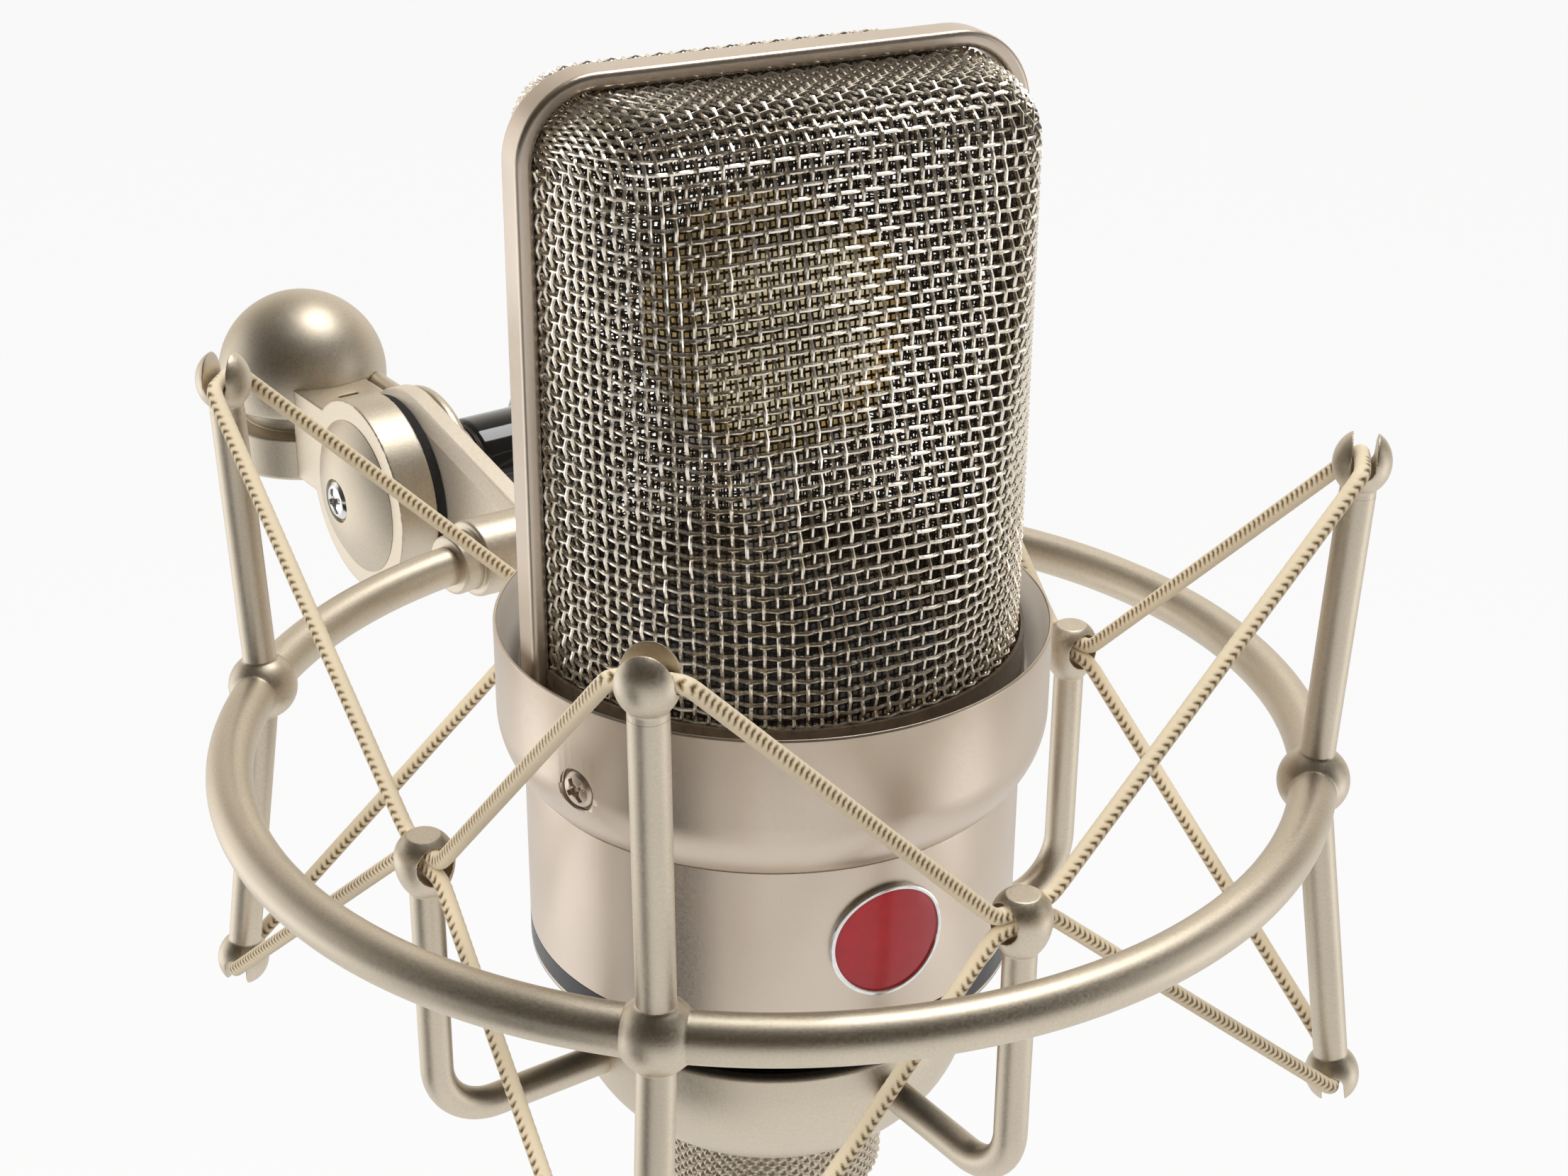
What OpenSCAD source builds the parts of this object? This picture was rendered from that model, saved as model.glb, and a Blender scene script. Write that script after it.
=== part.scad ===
// Large-diaphragm condenser microphone in an elastic-cord suspension with a tilting stand head.
// Millimetres, +Z up. The origin is the mouth of the stand thread, on the axis of the stand head.
// The microphone hangs in front of the stand head, its axis parallel to Z, its front facing -Y.

/* [Microphone body] */
// Outside diameter of the body tube
tube_d = 70.6; // [58:0.1:86]
// Length of the body tube
tube_len = 29.2; // [24:0.1:36]
// Wall thickness of the body tube
tube_wall = 1.6; // [1.2:0.1:2.4]
// Overhang of the cup-shaped head collar past the tube, on each side
collar_over = 3.7; // [3:0.1:4.5]
// Height of the head collar from its rim to the joint with the tube
collar_h = 21.8; // [17:0.1:27]
// Height of the straight band of the collar under its rim
collar_band_h = 13; // [9:0.1:16]
// Wall thickness of the collar at its rim
collar_wall = 1.3; // [0.9:0.1:2]
// Depth of the collar mouth down to its floor
collar_mouth_h = 8.5; // [6:0.1:10.5]
// Height of the dark band at the foot of the tube
band_h = 3.2; // [2:0.1:4.5]
// Height of the base from the tube to the end of its threaded neck
base_h = 35; // [30:0.5:42]
// Diameter of the threaded neck of the base
neck_d = 27; // [24:0.1:29]
// Diameter of the round badge on the tube
badge_d = 17; // [10:0.5:20]
// Turn of the microphone in its basket
mic_turn = -8.5; // [-30:0.5:30]

/* [Head grille] */
// Inset of the woven grille from the outside of the collar
mesh_in = 4.5; // [4.4:0.1:6]
// Height of the grille above the collar rim
mesh_h = 76.8; // [64:0.1:93]
// Thickness of the woven wire
mesh_t = 1; // [0.8:0.1:1.4]
// Slope of the flat front and rear faces, in degrees
face_slope = 11.5; // [8:0.5:12]
// Rounding of the top edges of the grille
mesh_round = 9; // [6:0.5:11]
// Width of the strap that frames the two grille halves
strap_w = 5.5; // [4:0.1:7]
// Thickness of that strap
strap_t = 2.3; // [1.8:0.1:2.6]

/* [Capsule] */
// Diameter of the capsule
capsule_d = 34; // [26:0.5:38]
// Thickness of the capsule across its two clamp rings
capsule_t = 12; // [9:0.5:15]
// Height of the capsule centre above the collar rim
capsule_z = 42; // [35:0.5:48]

/* [Suspension] */
// Diameter of the outer ring, at the middle of its tube
ring_d = 152.4; // [140:0.2:184]
// Diameter of the ring tube
ring_tube_d = 6.5; // [5.2:0.1:7.8]
// Height of the collar rim above the ring
rim_above_ring = 19.6; // [16:0.1:24]
// Diameter of the outer posts
post_d = 4.9; // [4.2:0.1:5.6]
// Height of the upper forks above the ring
fork_top_h = 47.8; // [40:0.1:57]
// Depth of the lower forks under the ring
fork_bottom_h = 48.1; // [40:0.1:57]
// Outward lean of the upper forks past the ring
fork_top_out = 2; // [0:0.1:6]
// Outward lean of the lower forks past the ring
fork_bottom_out = 7; // [0:0.1:9]
// Diameter of the round fork ends
fork_d = 7.8; // [7:0.1:9.4]
// Diameter of the elastic cord
cord_d = 2.2; // [1.8:0.1:2.7]
// Distance of the basket posts from the ring, inwards
arm_gap = 20.2; // [16:0.1:22]
// Diameter of the basket posts
arm_d = 4.6; // [3.8:0.1:5.4]
// Diameter of the bulbs on the basket posts
bulb_d = 8.2; // [7.6:0.1:9.4]
// Drop of the bulbs under the ring
bulb_drop = 1.9; // [0:0.1:4]
// Inset of the basket cup from the outside of the tube
cup_in = 5.3; // [4.4:0.1:6.4]
// Height of the basket cup
cup_h = 21.4; // [19.5:0.1:25.5]
// Wall thickness of the knurled lock nut
nut_wall = 3.5; // [2.8:0.1:4.5]
// Height of the knurled lock nut
nut_h = 12.5; // [9:0.5:15]

/* [Swivel and stand head] */
// Length of the swivel arm from the ring to the swivel axis
swivel_arm_len = 38.8; // [32:0.1:47]
// Gap between the swivel discs and the domed stand head
swivel_gap = 3.8; // [2:0.1:5]
// Height of the swivel axis above the thread mouth
swivel_z = 5.7; // [4.6:0.1:7]
// Height of the ring above the swivel axis
ring_rise = 2.7; // [0:0.1:4]
// Diameter of the swivel discs
disc_d = 34; // [28:0.5:36]
// Thickness of the disc on the stand side
ear_t = 7; // [5:0.1:8.4]
// Thickness of the swivel arm
arm_plate_t = 4.7; // [3.8:0.1:5.8]
// Diameter of the pivot bolt
bolt_d = 6; // [5:0.1:7.2]
// Diameter of the domed stand head
dome_d = 30.4; // [26:0.2:37]
// Outside diameter of the thread socket
socket_d = 29; // [25:0.5:31]
// Diameter of the stand thread
thread_d = 15.875; // [9.525:0.005:19.05]
// Depth of the stand thread
thread_len = 15; // [10:0.5:16]
// Length of the clamp knob
knob_len = 28; // [22:0.5:34]
// Largest diameter of the clamp knob
knob_d = 27; // [22:0.5:33]
// Diameter of the neck of the clamp knob
knob_neck_d = 18; // [15:0.5:21]

/* [Hidden] */
$fn = 64;
// Clearance between pieces that are fixed to each other
seat_gap = 0.1;
// Radial clearance of a turning shaft or thread
run_gap = 0.06;
// Clearance between faces that turn past each other
face_gap = 0.3;

tube_r = tube_d / 2;
collar_r = tube_r + collar_over;
collar_d = 2 * collar_r;
tube_in_r = tube_r - tube_wall;
mouth_r = collar_r - collar_wall;
bowl_h = collar_h - collar_band_h;
bowl_r = (bowl_h * bowl_h + collar_over * collar_over) / (2 * collar_over);
spigot_h = 5;
spigot_t = 1.8;
floor_t = 2.4;
tube_bottom = -collar_h - tube_len;
band_t = 0.5;
band_foot = 0.6;

neck_r = neck_d / 2;
base_foot = tube_bottom - base_h;
base_bevel_h = 7;
cup_r = tube_r - cup_in;
base_drum_r = cup_r - 8;
base_floor_t = 3;
shell_bore_r = 8.1;
shell_bore_h = 16;
insert_t = 4;
pin_circle_r = 4;
pin_r = 1.2;
pin_len = 12;

mesh_r = collar_r - mesh_in;
mesh_d = 2 * mesh_r;
slope = tan(face_slope);
wedge_start = 2;
grille_foot = -collar_mouth_h + 2.5;
// The mouth of the collar narrows towards its floor, down to the foot of the grille.
mouth_floor_r = mesh_r + 1;
strap_out = mesh_r + seat_gap + strap_t;
strap_top = mesh_h + seat_gap + strap_t;
inner_gap = 0.6;
inner_t = 0.4;

capsule_r = capsule_d / 2;
diaphragm_r = capsule_r - 2.6;
diaphragm_t = 0.3;
clamp_ring_t = 1.6;
platform_r = mesh_r - 11;
platform_t = 4;
wire_hole_r = platform_r - 4.5;
stem_r = 4;
damper_t = 3;
cradle_w = 5;
cradle_t = 2.5;

ring_r = ring_d / 2;
ring_tube_r = ring_tube_d / 2;
post_r = post_d / 2;
ring_bulb_r = ring_tube_r + 1.8;
fork_r = fork_d / 2;
cord_r = cord_d / 2;
slot_gap = 0.5;
slot_lift = 0.3;
hole_r = 2 * cord_r + 0.5;
bulb_r = bulb_d / 2;
bulb_flat = hole_r + 0.7;
arm_r = ring_r - arm_gap;
arm_rod_r = arm_d / 2;
bend_r = 9;
cup_wall = 2;
cup_round = 20;
cup_round_z = 18;
nut_r = neck_r + nut_wall;
// The cup floor carries the shoulder of the base, above the neck.
cup_floor_t = 4;
shoulder_z = base_foot + 10;
cup_foot = shoulder_z - cup_floor_t;
cup_rim = cup_foot + cup_h;
arm_z = cup_rim - 5.5;

ring_z = swivel_z + ring_rise;
rim_z = ring_z + rim_above_ring;
disc_r = disc_d / 2;
dome_r = dome_d / 2;
stand_reach = dome_r + disc_r + swivel_gap;
axis_y = ring_r + swivel_arm_len + stand_reach;
washer_t = 2;
washer_out = disc_r - 0.8;
bolt_r = bolt_d / 2;
cap_h = 4;
cap_r = disc_r - 3.5;
screw_head_r = 2.8;
cap_screw_r = 3.6;
screw_gap = 0.3;
arm_x = washer_t / 2 + face_gap;
far_ear_x = arm_x + arm_plate_t + face_gap;
far_ear_t = 4;
far_ear_r = disc_r - 0.5;
ferrule_x = far_ear_x + far_ear_t + face_gap;
ferrule_t = 3;
ferrule_r = bolt_r + 5.4;
knob_x = ferrule_x + ferrule_t;
clamp_r = ring_tube_r + 3.2;
clamp_half = 11;
// The clamp sits on the ring in line with the arm, a little to the side of the middle.
clamp_turn = asin((arm_x + arm_plate_t / 2) / ring_r);
sleeve_r = ring_tube_r + 1.7;
sleeve_half = 15;
socket_r = socket_d / 2;
socket_h = 8.2;
groove_h = 3.6;
dome_z = socket_h + groove_h + 3.9;
socket_neck_r = thread_d / 2 + 3.1;
socket_neck_h = thread_len + 2;
block_top = 12.2;
block_foot = -4.8;
block_x = 6.5;
slit_w = 2.2;
slit_x = 2;

nickel = "#b8b0a0";
bright_steel = "#d2d4d6";
gloss_black = "#141414";
gold = "#c9a24a";
elastic_beige = "#c8b48c";

// Frames: the microphone (z = 0 at the collar rim), the ring (z = 0 at the ring) and the swivel.
module at_mic() translate([0, -axis_y, rim_z]) rotate(mic_turn) children();
module at_axis() translate([0, -axis_y, rim_z]) children();
module at_ring() translate([0, -axis_y, ring_z]) children();
module at_clamp() at_ring() rotate(-clamp_turn) translate([0, ring_r, 0]) children();
module at_swivel() translate([0, -stand_reach, swivel_z]) children();

// Compass angles are counted from the front, -Y, towards +X.
function polar(r, a, z) = [r * sin(a), -r * cos(a), z];
function along(a) = [cos(a), sin(a), 0];

// Straight rods between two points, and rods along X or Y.
module rod(p, q, r) {
  v = q - p;
  translate(p)
    rotate([0, acos(v.z / norm(v)), atan2(v.y, v.x)])
      cylinder(r = r, h = norm(v));
}
module rod_x(r, x0, x1) translate([x0, 0, 0]) rotate([0, 90, 0]) cylinder(r = r, h = x1 - x0);
module rod_y(r, y0, y1) translate([0, y1, 0]) rotate([90, 0, 0]) cylinder(r = r, h = y1 - y0);
module washer(r_out, r_in, h) difference() {
  cylinder(r = r_out, h = h);
  translate([0, 0, -1]) cylinder(r = r_in, h = h + 2);
}
module ring_tube(r) rotate_extrude($fn = 128) translate([ring_r, 0]) circle(r);

// Stand side of the swivel.
module stand_socket() color(nickel) difference() {
  union() {
    cylinder(r = socket_r, h = socket_h);
    cylinder(r = socket_neck_r, h = socket_neck_h);
  }
  translate([0, 0, -1]) cylinder(d = thread_d, h = thread_len + 1);
}

module stand_dome() color(nickel) difference() {
  intersection() {
    translate([0, 0, dome_z]) sphere(dome_r, $fn = 96);
    translate([-dome_d, -dome_d, socket_h + groove_h]) cube([2 * dome_d, 2 * dome_d, 2 * dome_d]);
  }
  cylinder(r = socket_neck_r + seat_gap, h = socket_neck_h + seat_gap);
}

module block_seat() {
  translate([0, 0, dome_z]) sphere(dome_r + seat_gap, $fn = 96);
  cylinder(r = socket_r + seat_gap, h = 3 * socket_h, center = true);
}
module swivel_ear() color(nickel) difference() {
  union() {
    at_swivel() rod_x(disc_r, -washer_t / 2 - ear_t, -washer_t / 2);
    translate([-washer_t / 2 - ear_t, -stand_reach, swivel_z + block_foot])
      cube([ear_t + block_x, stand_reach - 2, block_top - block_foot]);
  }
  // The block ends on the dome and stays clear of the discs that turn beside the ear.
  block_seat();
  at_swivel() rod_x(disc_r + face_gap, -washer_t / 2, block_x + 1);
  at_swivel() rod_x(bolt_r + seat_gap, -washer_t / 2 - ear_t - 1, block_x);
  // Narrow slit in the top of the block, beside the disc.
  slit_y = sqrt(disc_r * disc_r - block_top * block_top) - 0.4;
  at_swivel() translate([-washer_t / 2 - slit_x, slit_y, block_top - 2]) cube([slit_x + 1, slit_w, 3]);
}

// Second ear, on the knob side of the arm, with a crowned disc and a link back to the dome.
module far_ear() color(nickel) difference() {
  union() {
    at_swivel() {
      rod_x(far_ear_r, far_ear_x, far_ear_x + far_ear_t / 2);
      translate([far_ear_x + far_ear_t / 2, 0, 0]) rotate([0, 90, 0])
        cylinder(r1 = far_ear_r, r2 = far_ear_r - 5, h = far_ear_t / 2);
      translate([far_ear_x, 0, block_foot])
        cube([far_ear_t, stand_reach - 2, block_top - far_ear_t / 2 - block_foot]);
      translate([far_ear_x + far_ear_t / 2, 0, block_top - far_ear_t / 2])
        rod_y(far_ear_t / 2, 0, stand_reach - 2);
    }
  }
  block_seat();
  at_swivel() rod_x(bolt_r + run_gap, far_ear_x - 1, far_ear_x + far_ear_t + 1);
}

module pivot_cap() color(nickel) at_swivel() {
  dome_curve = (cap_r * cap_r + cap_h * cap_h) / (2 * cap_h);
  face_x = -washer_t / 2 - ear_t - seat_gap;
  difference() {
    intersection() {
      translate([face_x - cap_h + dome_curve, 0, 0]) sphere(dome_curve, $fn = 96);
      rod_x(cap_r + 1, face_x - cap_h - 1, face_x);
    }
    rod_x(cap_screw_r + screw_gap, face_x - cap_h - 1, face_x - cap_h + 1);
  }
}

module pivot_cap_screw() color(bright_steel) at_swivel() {
  seat_x = -washer_t / 2 - ear_t - seat_gap - cap_h + 1;
  difference() {
    rod_x(cap_screw_r, seat_x - 1.6, seat_x);
    for (turn = [0, 90])
      rotate([turn, 0, 0])
        translate([seat_x - 1.7, -2.3, -0.5]) cube([1.1, 4.6, 1]);
  }
}

module pivot_bolt() color(bright_steel) at_swivel()
  rod_x(bolt_r, -washer_t / 2 - ear_t, knob_x + knob_len - 3);

module friction_washer() color(gloss_black) at_swivel()
  difference() {
    rod_x(washer_out, -washer_t / 2, washer_t / 2);
    rod_x(bolt_r + seat_gap, -washer_t, washer_t);
  }

// Arm side of the swivel, turning on the bolt.
module swivel_arm() color(nickel) difference() {
  hull() {
    at_swivel() rod_x(disc_r, arm_x, arm_x + arm_plate_t, $fn = 64);
    translate([0, -axis_y + ring_r * cos(clamp_turn), ring_z])
      rod_x(clamp_r - 0.3, arm_x, arm_x + arm_plate_t, $fn = 32);
  }
  at_swivel() rod_x(bolt_r + run_gap, arm_x - 1, arm_x + arm_plate_t + 1);
  at_clamp() rod_x(clamp_r + seat_gap, -arm_plate_t, arm_plate_t);
}

// Stepped sleeve, bent with the ring.
module ring_sector(r, half) {
  half_turn = half / ring_r * 180 / PI;
  rotate(90 - clamp_turn - half_turn)
    rotate_extrude(angle = 2 * half_turn, $fn = 128) translate([ring_r, 0]) circle(r);
}
module ring_clamp() color(nickel) at_ring() difference() {
  union() {
    ring_sector(clamp_r, clamp_half);
    ring_sector(sleeve_r, sleeve_half);
  }
  ring_tube(ring_tube_r + seat_gap);
}

module knob_ferrule() color(bright_steel) at_swivel() difference() {
  rod_x(ferrule_r, ferrule_x, ferrule_x + ferrule_t);
  rod_x(bolt_r + run_gap, ferrule_x - 1, ferrule_x + ferrule_t + 1);
}

module clamp_knob() color(gloss_black) at_swivel() {
  flute_count = 8;
  flare_len = 3;
  head_x = knob_x + 0.45 * knob_len;
  difference() {
    union() {
      rod_x(knob_neck_d / 2, knob_x, head_x);
      translate([head_x, 0, 0]) rotate([0, 90, 0]) cylinder(d1 = knob_neck_d, d2 = knob_d, h = flare_len);
      rod_x(knob_d / 2, head_x + flare_len, knob_x + knob_len);
    }
    for (k = [0 : flute_count - 1])
      rotate([360 * k / flute_count, 0, 0])
        translate([0, 0.62 * knob_d, 0]) rod_x(0.2 * knob_d, head_x, knob_x + knob_len + 1);
    rod_x(bolt_r + run_gap, knob_x - 1, knob_x + knob_len - 2.5);
  }
}

// Outer ring and its four posts, each with a fork at both ends.
module outer_ring() color(nickel) at_ring() ring_tube(ring_tube_r);

module fork(end, back, a) {
  // A ball with a slot across it, open away from the post. The cord lies on the floor of the slot.
  slot_r = cord_r + slot_gap;
  away = end.z > back.z ? 1 : -1;
  mid = end + [0, 0, away * slot_lift];
  difference() {
    translate(end) sphere(fork_r, $fn = 48);
    rod(mid - fork_d * along(a), mid + fork_d * along(a), slot_r);
    translate(mid) rotate(a)
      translate([-fork_d, -slot_r, away > 0 ? 0 : -fork_d]) cube([2 * fork_d, 2 * slot_r, fork_d]);
  }
}

module outer_post(a) {
  hub = polar(ring_r, a, 0);
  top = polar(ring_r + fork_top_out, a, fork_top_h);
  foot = polar(ring_r + fork_bottom_out, a, -fork_bottom_h);
  color(nickel) at_ring() {
    difference() {
      union() {
        translate(hub) sphere(ring_bulb_r, $fn = 64);
        rod(hub, top - (fork_r - 1) * (top - hub) / norm(top - hub), post_r);
        rod(hub, foot - (fork_r - 1) * (foot - hub) / norm(foot - hub), post_r);
      }
      ring_tube(ring_tube_r + seat_gap);
    }
    fork(top, hub, a);
    fork(foot, hub, a);
  }
}
module post_front_left() outer_post(-45);
module post_front_right() outer_post(45);
module post_back_right() outer_post(135);
module post_back_left() outer_post(-135);

// Elastic loops. Each runs straight through every fork and every bulb, and slants between them.
cord_sides = 8;
fork_run = fork_r + 0.9;
bulb_run = bulb_r + 0.9;
function loop_points(fork_out, fork_z, bulb_z) = [
  for (k = [0 : 3])
    let (b = polar(arm_r, 90 * k, bulb_z), f = polar(ring_r + fork_out, 90 * k + 45, fork_z))
    let (tb = along(90 * k), tf = along(90 * k + 45))
    each [b - bulb_run * tb, b, b + bulb_run * tb, f - fork_run * tf, f, f + fork_run * tf]
];
module cord_loop(pts) {
  n = len(pts);
  rings = [
    for (i = [0 : n - 1])
      let (ahead = pts[(i + 1) % n] - pts[i], behind = pts[i] - pts[(i + n - 1) % n])
      let (t0 = ahead / norm(ahead) + behind / norm(behind), t = t0 / norm(t0))
      let (out0 = [pts[i].x, pts[i].y, 0], out1 = out0 - (out0 * t) * t, u = out1 / norm(out1))
      let (v = cross(t, u))
      [for (s = [0 : cord_sides - 1])
        let (w = 360 * s / cord_sides) pts[i] + cord_r * (cos(w) * u + sin(w) * v)]
  ];
  faces = [
    for (i = [0 : n - 1], s = [0 : cord_sides - 1])
      let (j = (i + 1) % n, q = (s + 1) % cord_sides)
      let (a = i * cord_sides + s, b = i * cord_sides + q, c = j * cord_sides + q, d = j * cord_sides + s)
      each [[a, b, c], [a, c, d]]
  ];
  polyhedron([for (ring = rings) each ring], faces);
}
// The two cords lie one above the other in each bulb.
cord_step = cord_r + 0.1;
module upper_elastic() color(elastic_beige) at_ring()
  cord_loop(loop_points(fork_top_out, fork_top_h, -bulb_drop + cord_step));
module lower_elastic() color(elastic_beige) at_ring()
  cord_loop(loop_points(fork_bottom_out, -fork_bottom_h, -bulb_drop - cord_step));

// Basket that carries the microphone: a cup and four bent posts.
module basket_cup() color(nickel) at_axis() difference() {
  rotate_extrude($fn = 96) difference() {
    union() {
      translate([0, cup_foot + cup_round_z]) square([cup_r, cup_h - cup_round_z]);
      intersection() {
        translate([cup_r - cup_round, cup_foot + cup_round_z]) circle(cup_round);
        translate([0, cup_foot]) square([cup_r, cup_round_z + 1]);
      }
    }
    translate([-cup_round, cup_foot - 1]) square([cup_round + neck_r + 0.4, cup_h]);
    translate([-1, shoulder_z]) square([1 + base_drum_r + 0.4, cup_h]);
    translate([-1, shoulder_z + 8]) square([1 + cup_r - cup_wall, cup_h]);
  }
}

module basket_arm(a) {
  top_z = rim_above_ring + bulb_drop;
  bulb = polar(arm_r, a, -top_z);
  knee_z = arm_z + bend_r;
  color(nickel) at_axis() difference() {
    union() {
      translate(bulb) sphere(bulb_r, $fn = 64);
      rod(polar(arm_r, a, knee_z), bulb, arm_rod_r);
      rotate(a)
        translate([0, -arm_r + bend_r, knee_z])
          rotate([0, 90, 0])
            rotate_extrude(angle = 90, start = -90, $fn = 64) translate([bend_r, 0]) circle(arm_rod_r);
      rod(polar(cup_r - 4, a, arm_z), polar(arm_r - bend_r, a, arm_z), arm_rod_r);
    }
    translate([0, 0, cup_foot]) cylinder(r = cup_r + seat_gap, h = cup_h + 20);
    rod(bulb - bulb_d * along(a), bulb + bulb_d * along(a), hole_r);
    translate(bulb + [-bulb_d, -bulb_d, bulb_flat]) cube(2 * bulb_d);
  }
}
module arm_front() basket_arm(0);
module arm_right() basket_arm(90);
module arm_back() basket_arm(180);
module arm_left() basket_arm(-90);

// Knurled nut that pulls the neck of the base down on the cup floor.
module lock_nut() color(nickel) at_axis() difference() {
  translate([0, 0, cup_foot - face_gap - nut_h]) {
    cylinder(r1 = nut_r - 1, r2 = nut_r, h = 1);
    translate([0, 0, 1]) cylinder(r = nut_r, h = nut_h - 2);
    translate([0, 0, nut_h - 1]) cylinder(r1 = nut_r, r2 = nut_r - 1, h = 1);
  }
  translate([0, 0, cup_foot - nut_h - 2]) cylinder(r = neck_r + run_gap, h = nut_h + 4);
}

// Base of the microphone with the output connector in its neck.
module mic_base() color("#1d1c1b") at_mic() difference() {
  union() {
    translate([0, 0, tube_bottom - base_bevel_h]) cylinder(r1 = base_drum_r, r2 = tube_r, h = base_bevel_h);
    translate([0, 0, tube_bottom]) cylinder(r = tube_in_r - seat_gap, h = base_floor_t);
    translate([0, 0, shoulder_z]) cylinder(r = base_drum_r, h = tube_bottom - base_bevel_h - shoulder_z);
    translate([0, 0, base_foot]) cylinder(r = neck_r, h = shoulder_z - base_foot);
  }
  translate([0, 0, base_foot - 1]) cylinder(r = shell_bore_r, h = shell_bore_h + insert_t + 2);
  translate([0, 0, base_foot + shell_bore_h + insert_t])
    cylinder(r = base_drum_r - 3, h = base_h - shell_bore_h - insert_t + base_floor_t + 1);
}

module connector_insert() color(gloss_black) at_mic()
  translate([0, 0, base_foot + shell_bore_h]) difference() {
    cylinder(r = shell_bore_r - seat_gap, h = insert_t);
    for (k = [0 : 2])
      translate(polar(pin_circle_r, 120 * k, -1)) cylinder(r = pin_r + 0.02, h = insert_t + 2);
  }

module connector_pins() color(gold) at_mic()
  for (k = [0 : 2])
    translate(polar(pin_circle_r, 120 * k, base_foot + shell_bore_h - pin_len))
      cylinder(r = pin_r, h = pin_len + insert_t + 2);

module housing_tube() color(nickel) at_mic() difference() {
  translate([0, 0, tube_bottom]) cylinder(r = tube_r, h = tube_len, $fn = 96);
  translate([0, 0, tube_bottom - 1]) cylinder(r = tube_in_r, h = tube_len + 2);
  translate([0, 0, tube_bottom + band_foot]) washer(tube_r + 1, tube_r - band_t - 0.02, band_h);
}

module label_band() color(gloss_black) at_mic()
  translate([0, 0, tube_bottom + band_foot + 0.02]) washer(tube_r, tube_r - band_t, band_h - 0.04);

module badge() color("#a5161d") at_mic() intersection() {
  translate([0, 0, -collar_h - tube_len]) washer(tube_r + 0.9, tube_r + 0.02, tube_len);
  translate([0, 0, -collar_h - 0.42 * tube_len]) rod_y(badge_d / 2, -collar_d, 0);
}

// Cup-shaped collar between the body and the grille, with its two screws.
module head_collar() color(nickel) at_mic() difference() {
  rotate_extrude($fn = 96) difference() {
    union() {
      translate([0, -collar_band_h]) square([collar_r, collar_band_h]);
      intersection() {
        translate([collar_r - bowl_r, -collar_band_h]) circle(bowl_r);
        translate([0, -collar_h]) square([collar_r, bowl_h]);
      }
      translate([0, -collar_h - spigot_h]) square([tube_in_r - seat_gap, spigot_h]);
    }
    polygon([[-1, -collar_mouth_h], [mouth_floor_r, -collar_mouth_h], [mouth_r, 0], [mouth_r, 1], [-1, 1]]);
    translate([-collar_r, -collar_h - spigot_h - 1]) square([collar_r + wire_hole_r, collar_h + spigot_h]);
    translate([-1, -collar_h - spigot_h - 1])
      square([1 + tube_in_r - spigot_t, collar_h + spigot_h + 1 - collar_mouth_h - floor_t]);
  }
  collar_screw_places() rod_y(screw_head_r + screw_gap, -collar_r - 1, -collar_r + 1.2);
  intersection() {
    strap_slot(seat_gap);
    translate([0, 0, -collar_mouth_h]) cylinder(r = strap_out + seat_gap, h = collar_mouth_h + 1);
  }
}

screw_turn = -68;
screw_drop = 12.9;
module collar_screw_places()
  for (turn = [screw_turn, screw_turn + 180])
    rotate(turn) translate([0, 0, -screw_drop]) children();
module collar_screws() color(bright_steel) at_mic() collar_screw_places() difference() {
  rod_y(screw_head_r, -collar_r - 0.3, -collar_r + 1.2);
  for (turn = [45, 135])
    rotate([0, turn, 0]) translate([-1.8, -collar_r - 0.4, -0.4]) cube([3.6, 1.1, 0.8]);
}

// Head grille: base ring, frame strap and two woven halves, each with a finer mesh behind it.
module grille_base() color("#2a2724") at_mic() difference() {
  union() {
    translate([0, 0, -collar_mouth_h])
      washer(mouth_floor_r - seat_gap, platform_r + seat_gap, grille_foot + collar_mouth_h);
    translate([0, 0, -collar_mouth_h]) washer(mesh_r + 0.6, mesh_r + seat_gap, collar_mouth_h - 0.8);
  }
  strap_slot(0.15);
}

module strap_slot(gap)
  translate([-collar_r, -strap_w / 2 - gap, -collar_mouth_h - 1]) difference() {
    cube([collar_d, strap_w + 2 * gap, collar_mouth_h + 2]);
    translate([collar_r - mesh_r - seat_gap + gap, -1, 0])
      cube([2 * (mesh_r + seat_gap - gap), strap_w + 4, collar_mouth_h + 2]);
  }

// Upright outline with round top corners. The sides run past the grille's own cylinder.
module round_top(half, top, r, foot) {
  translate([-half + r, foot]) square([2 * (half - r), top - foot]);
  translate([-half, foot]) square([2 * half, top - r - foot]);
  for (side = [-1, 1]) translate([side * (half - r), top - r]) circle(r);
}

module grille_strap() color(nickel) at_mic() rotate([90, 0, 0])
  linear_extrude(strap_w, center = true) difference() {
    round_top(strap_out, strap_top, mesh_round + strap_t, -collar_mouth_h);
    round_top(mesh_r + seat_gap, mesh_h + seat_gap, mesh_round, -collar_mouth_h - 1);
  }

// Side outline of the head: sloping faces from the collar to a flat top with round edges.
module head_side(inset, foot) {
  top = mesh_h - inset;
  r = mesh_round - inset;
  secant = sqrt(1 + slope * slope);
  function half_at(z) = mesh_r - slope * (z - wedge_start) - inset * secant;
  yc = half_at(top - r) - r * secant;
  touch = [yc + r / secant, top - r + r * slope / secant];
  polygon([
    [-half_at(foot), foot], [half_at(foot), foot], touch, [yc, top],
    [-yc, top], [-touch.x, touch.y]
  ]);
  for (side = [-1, 1]) translate([side * yc, top - r]) circle(r);
}

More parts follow.
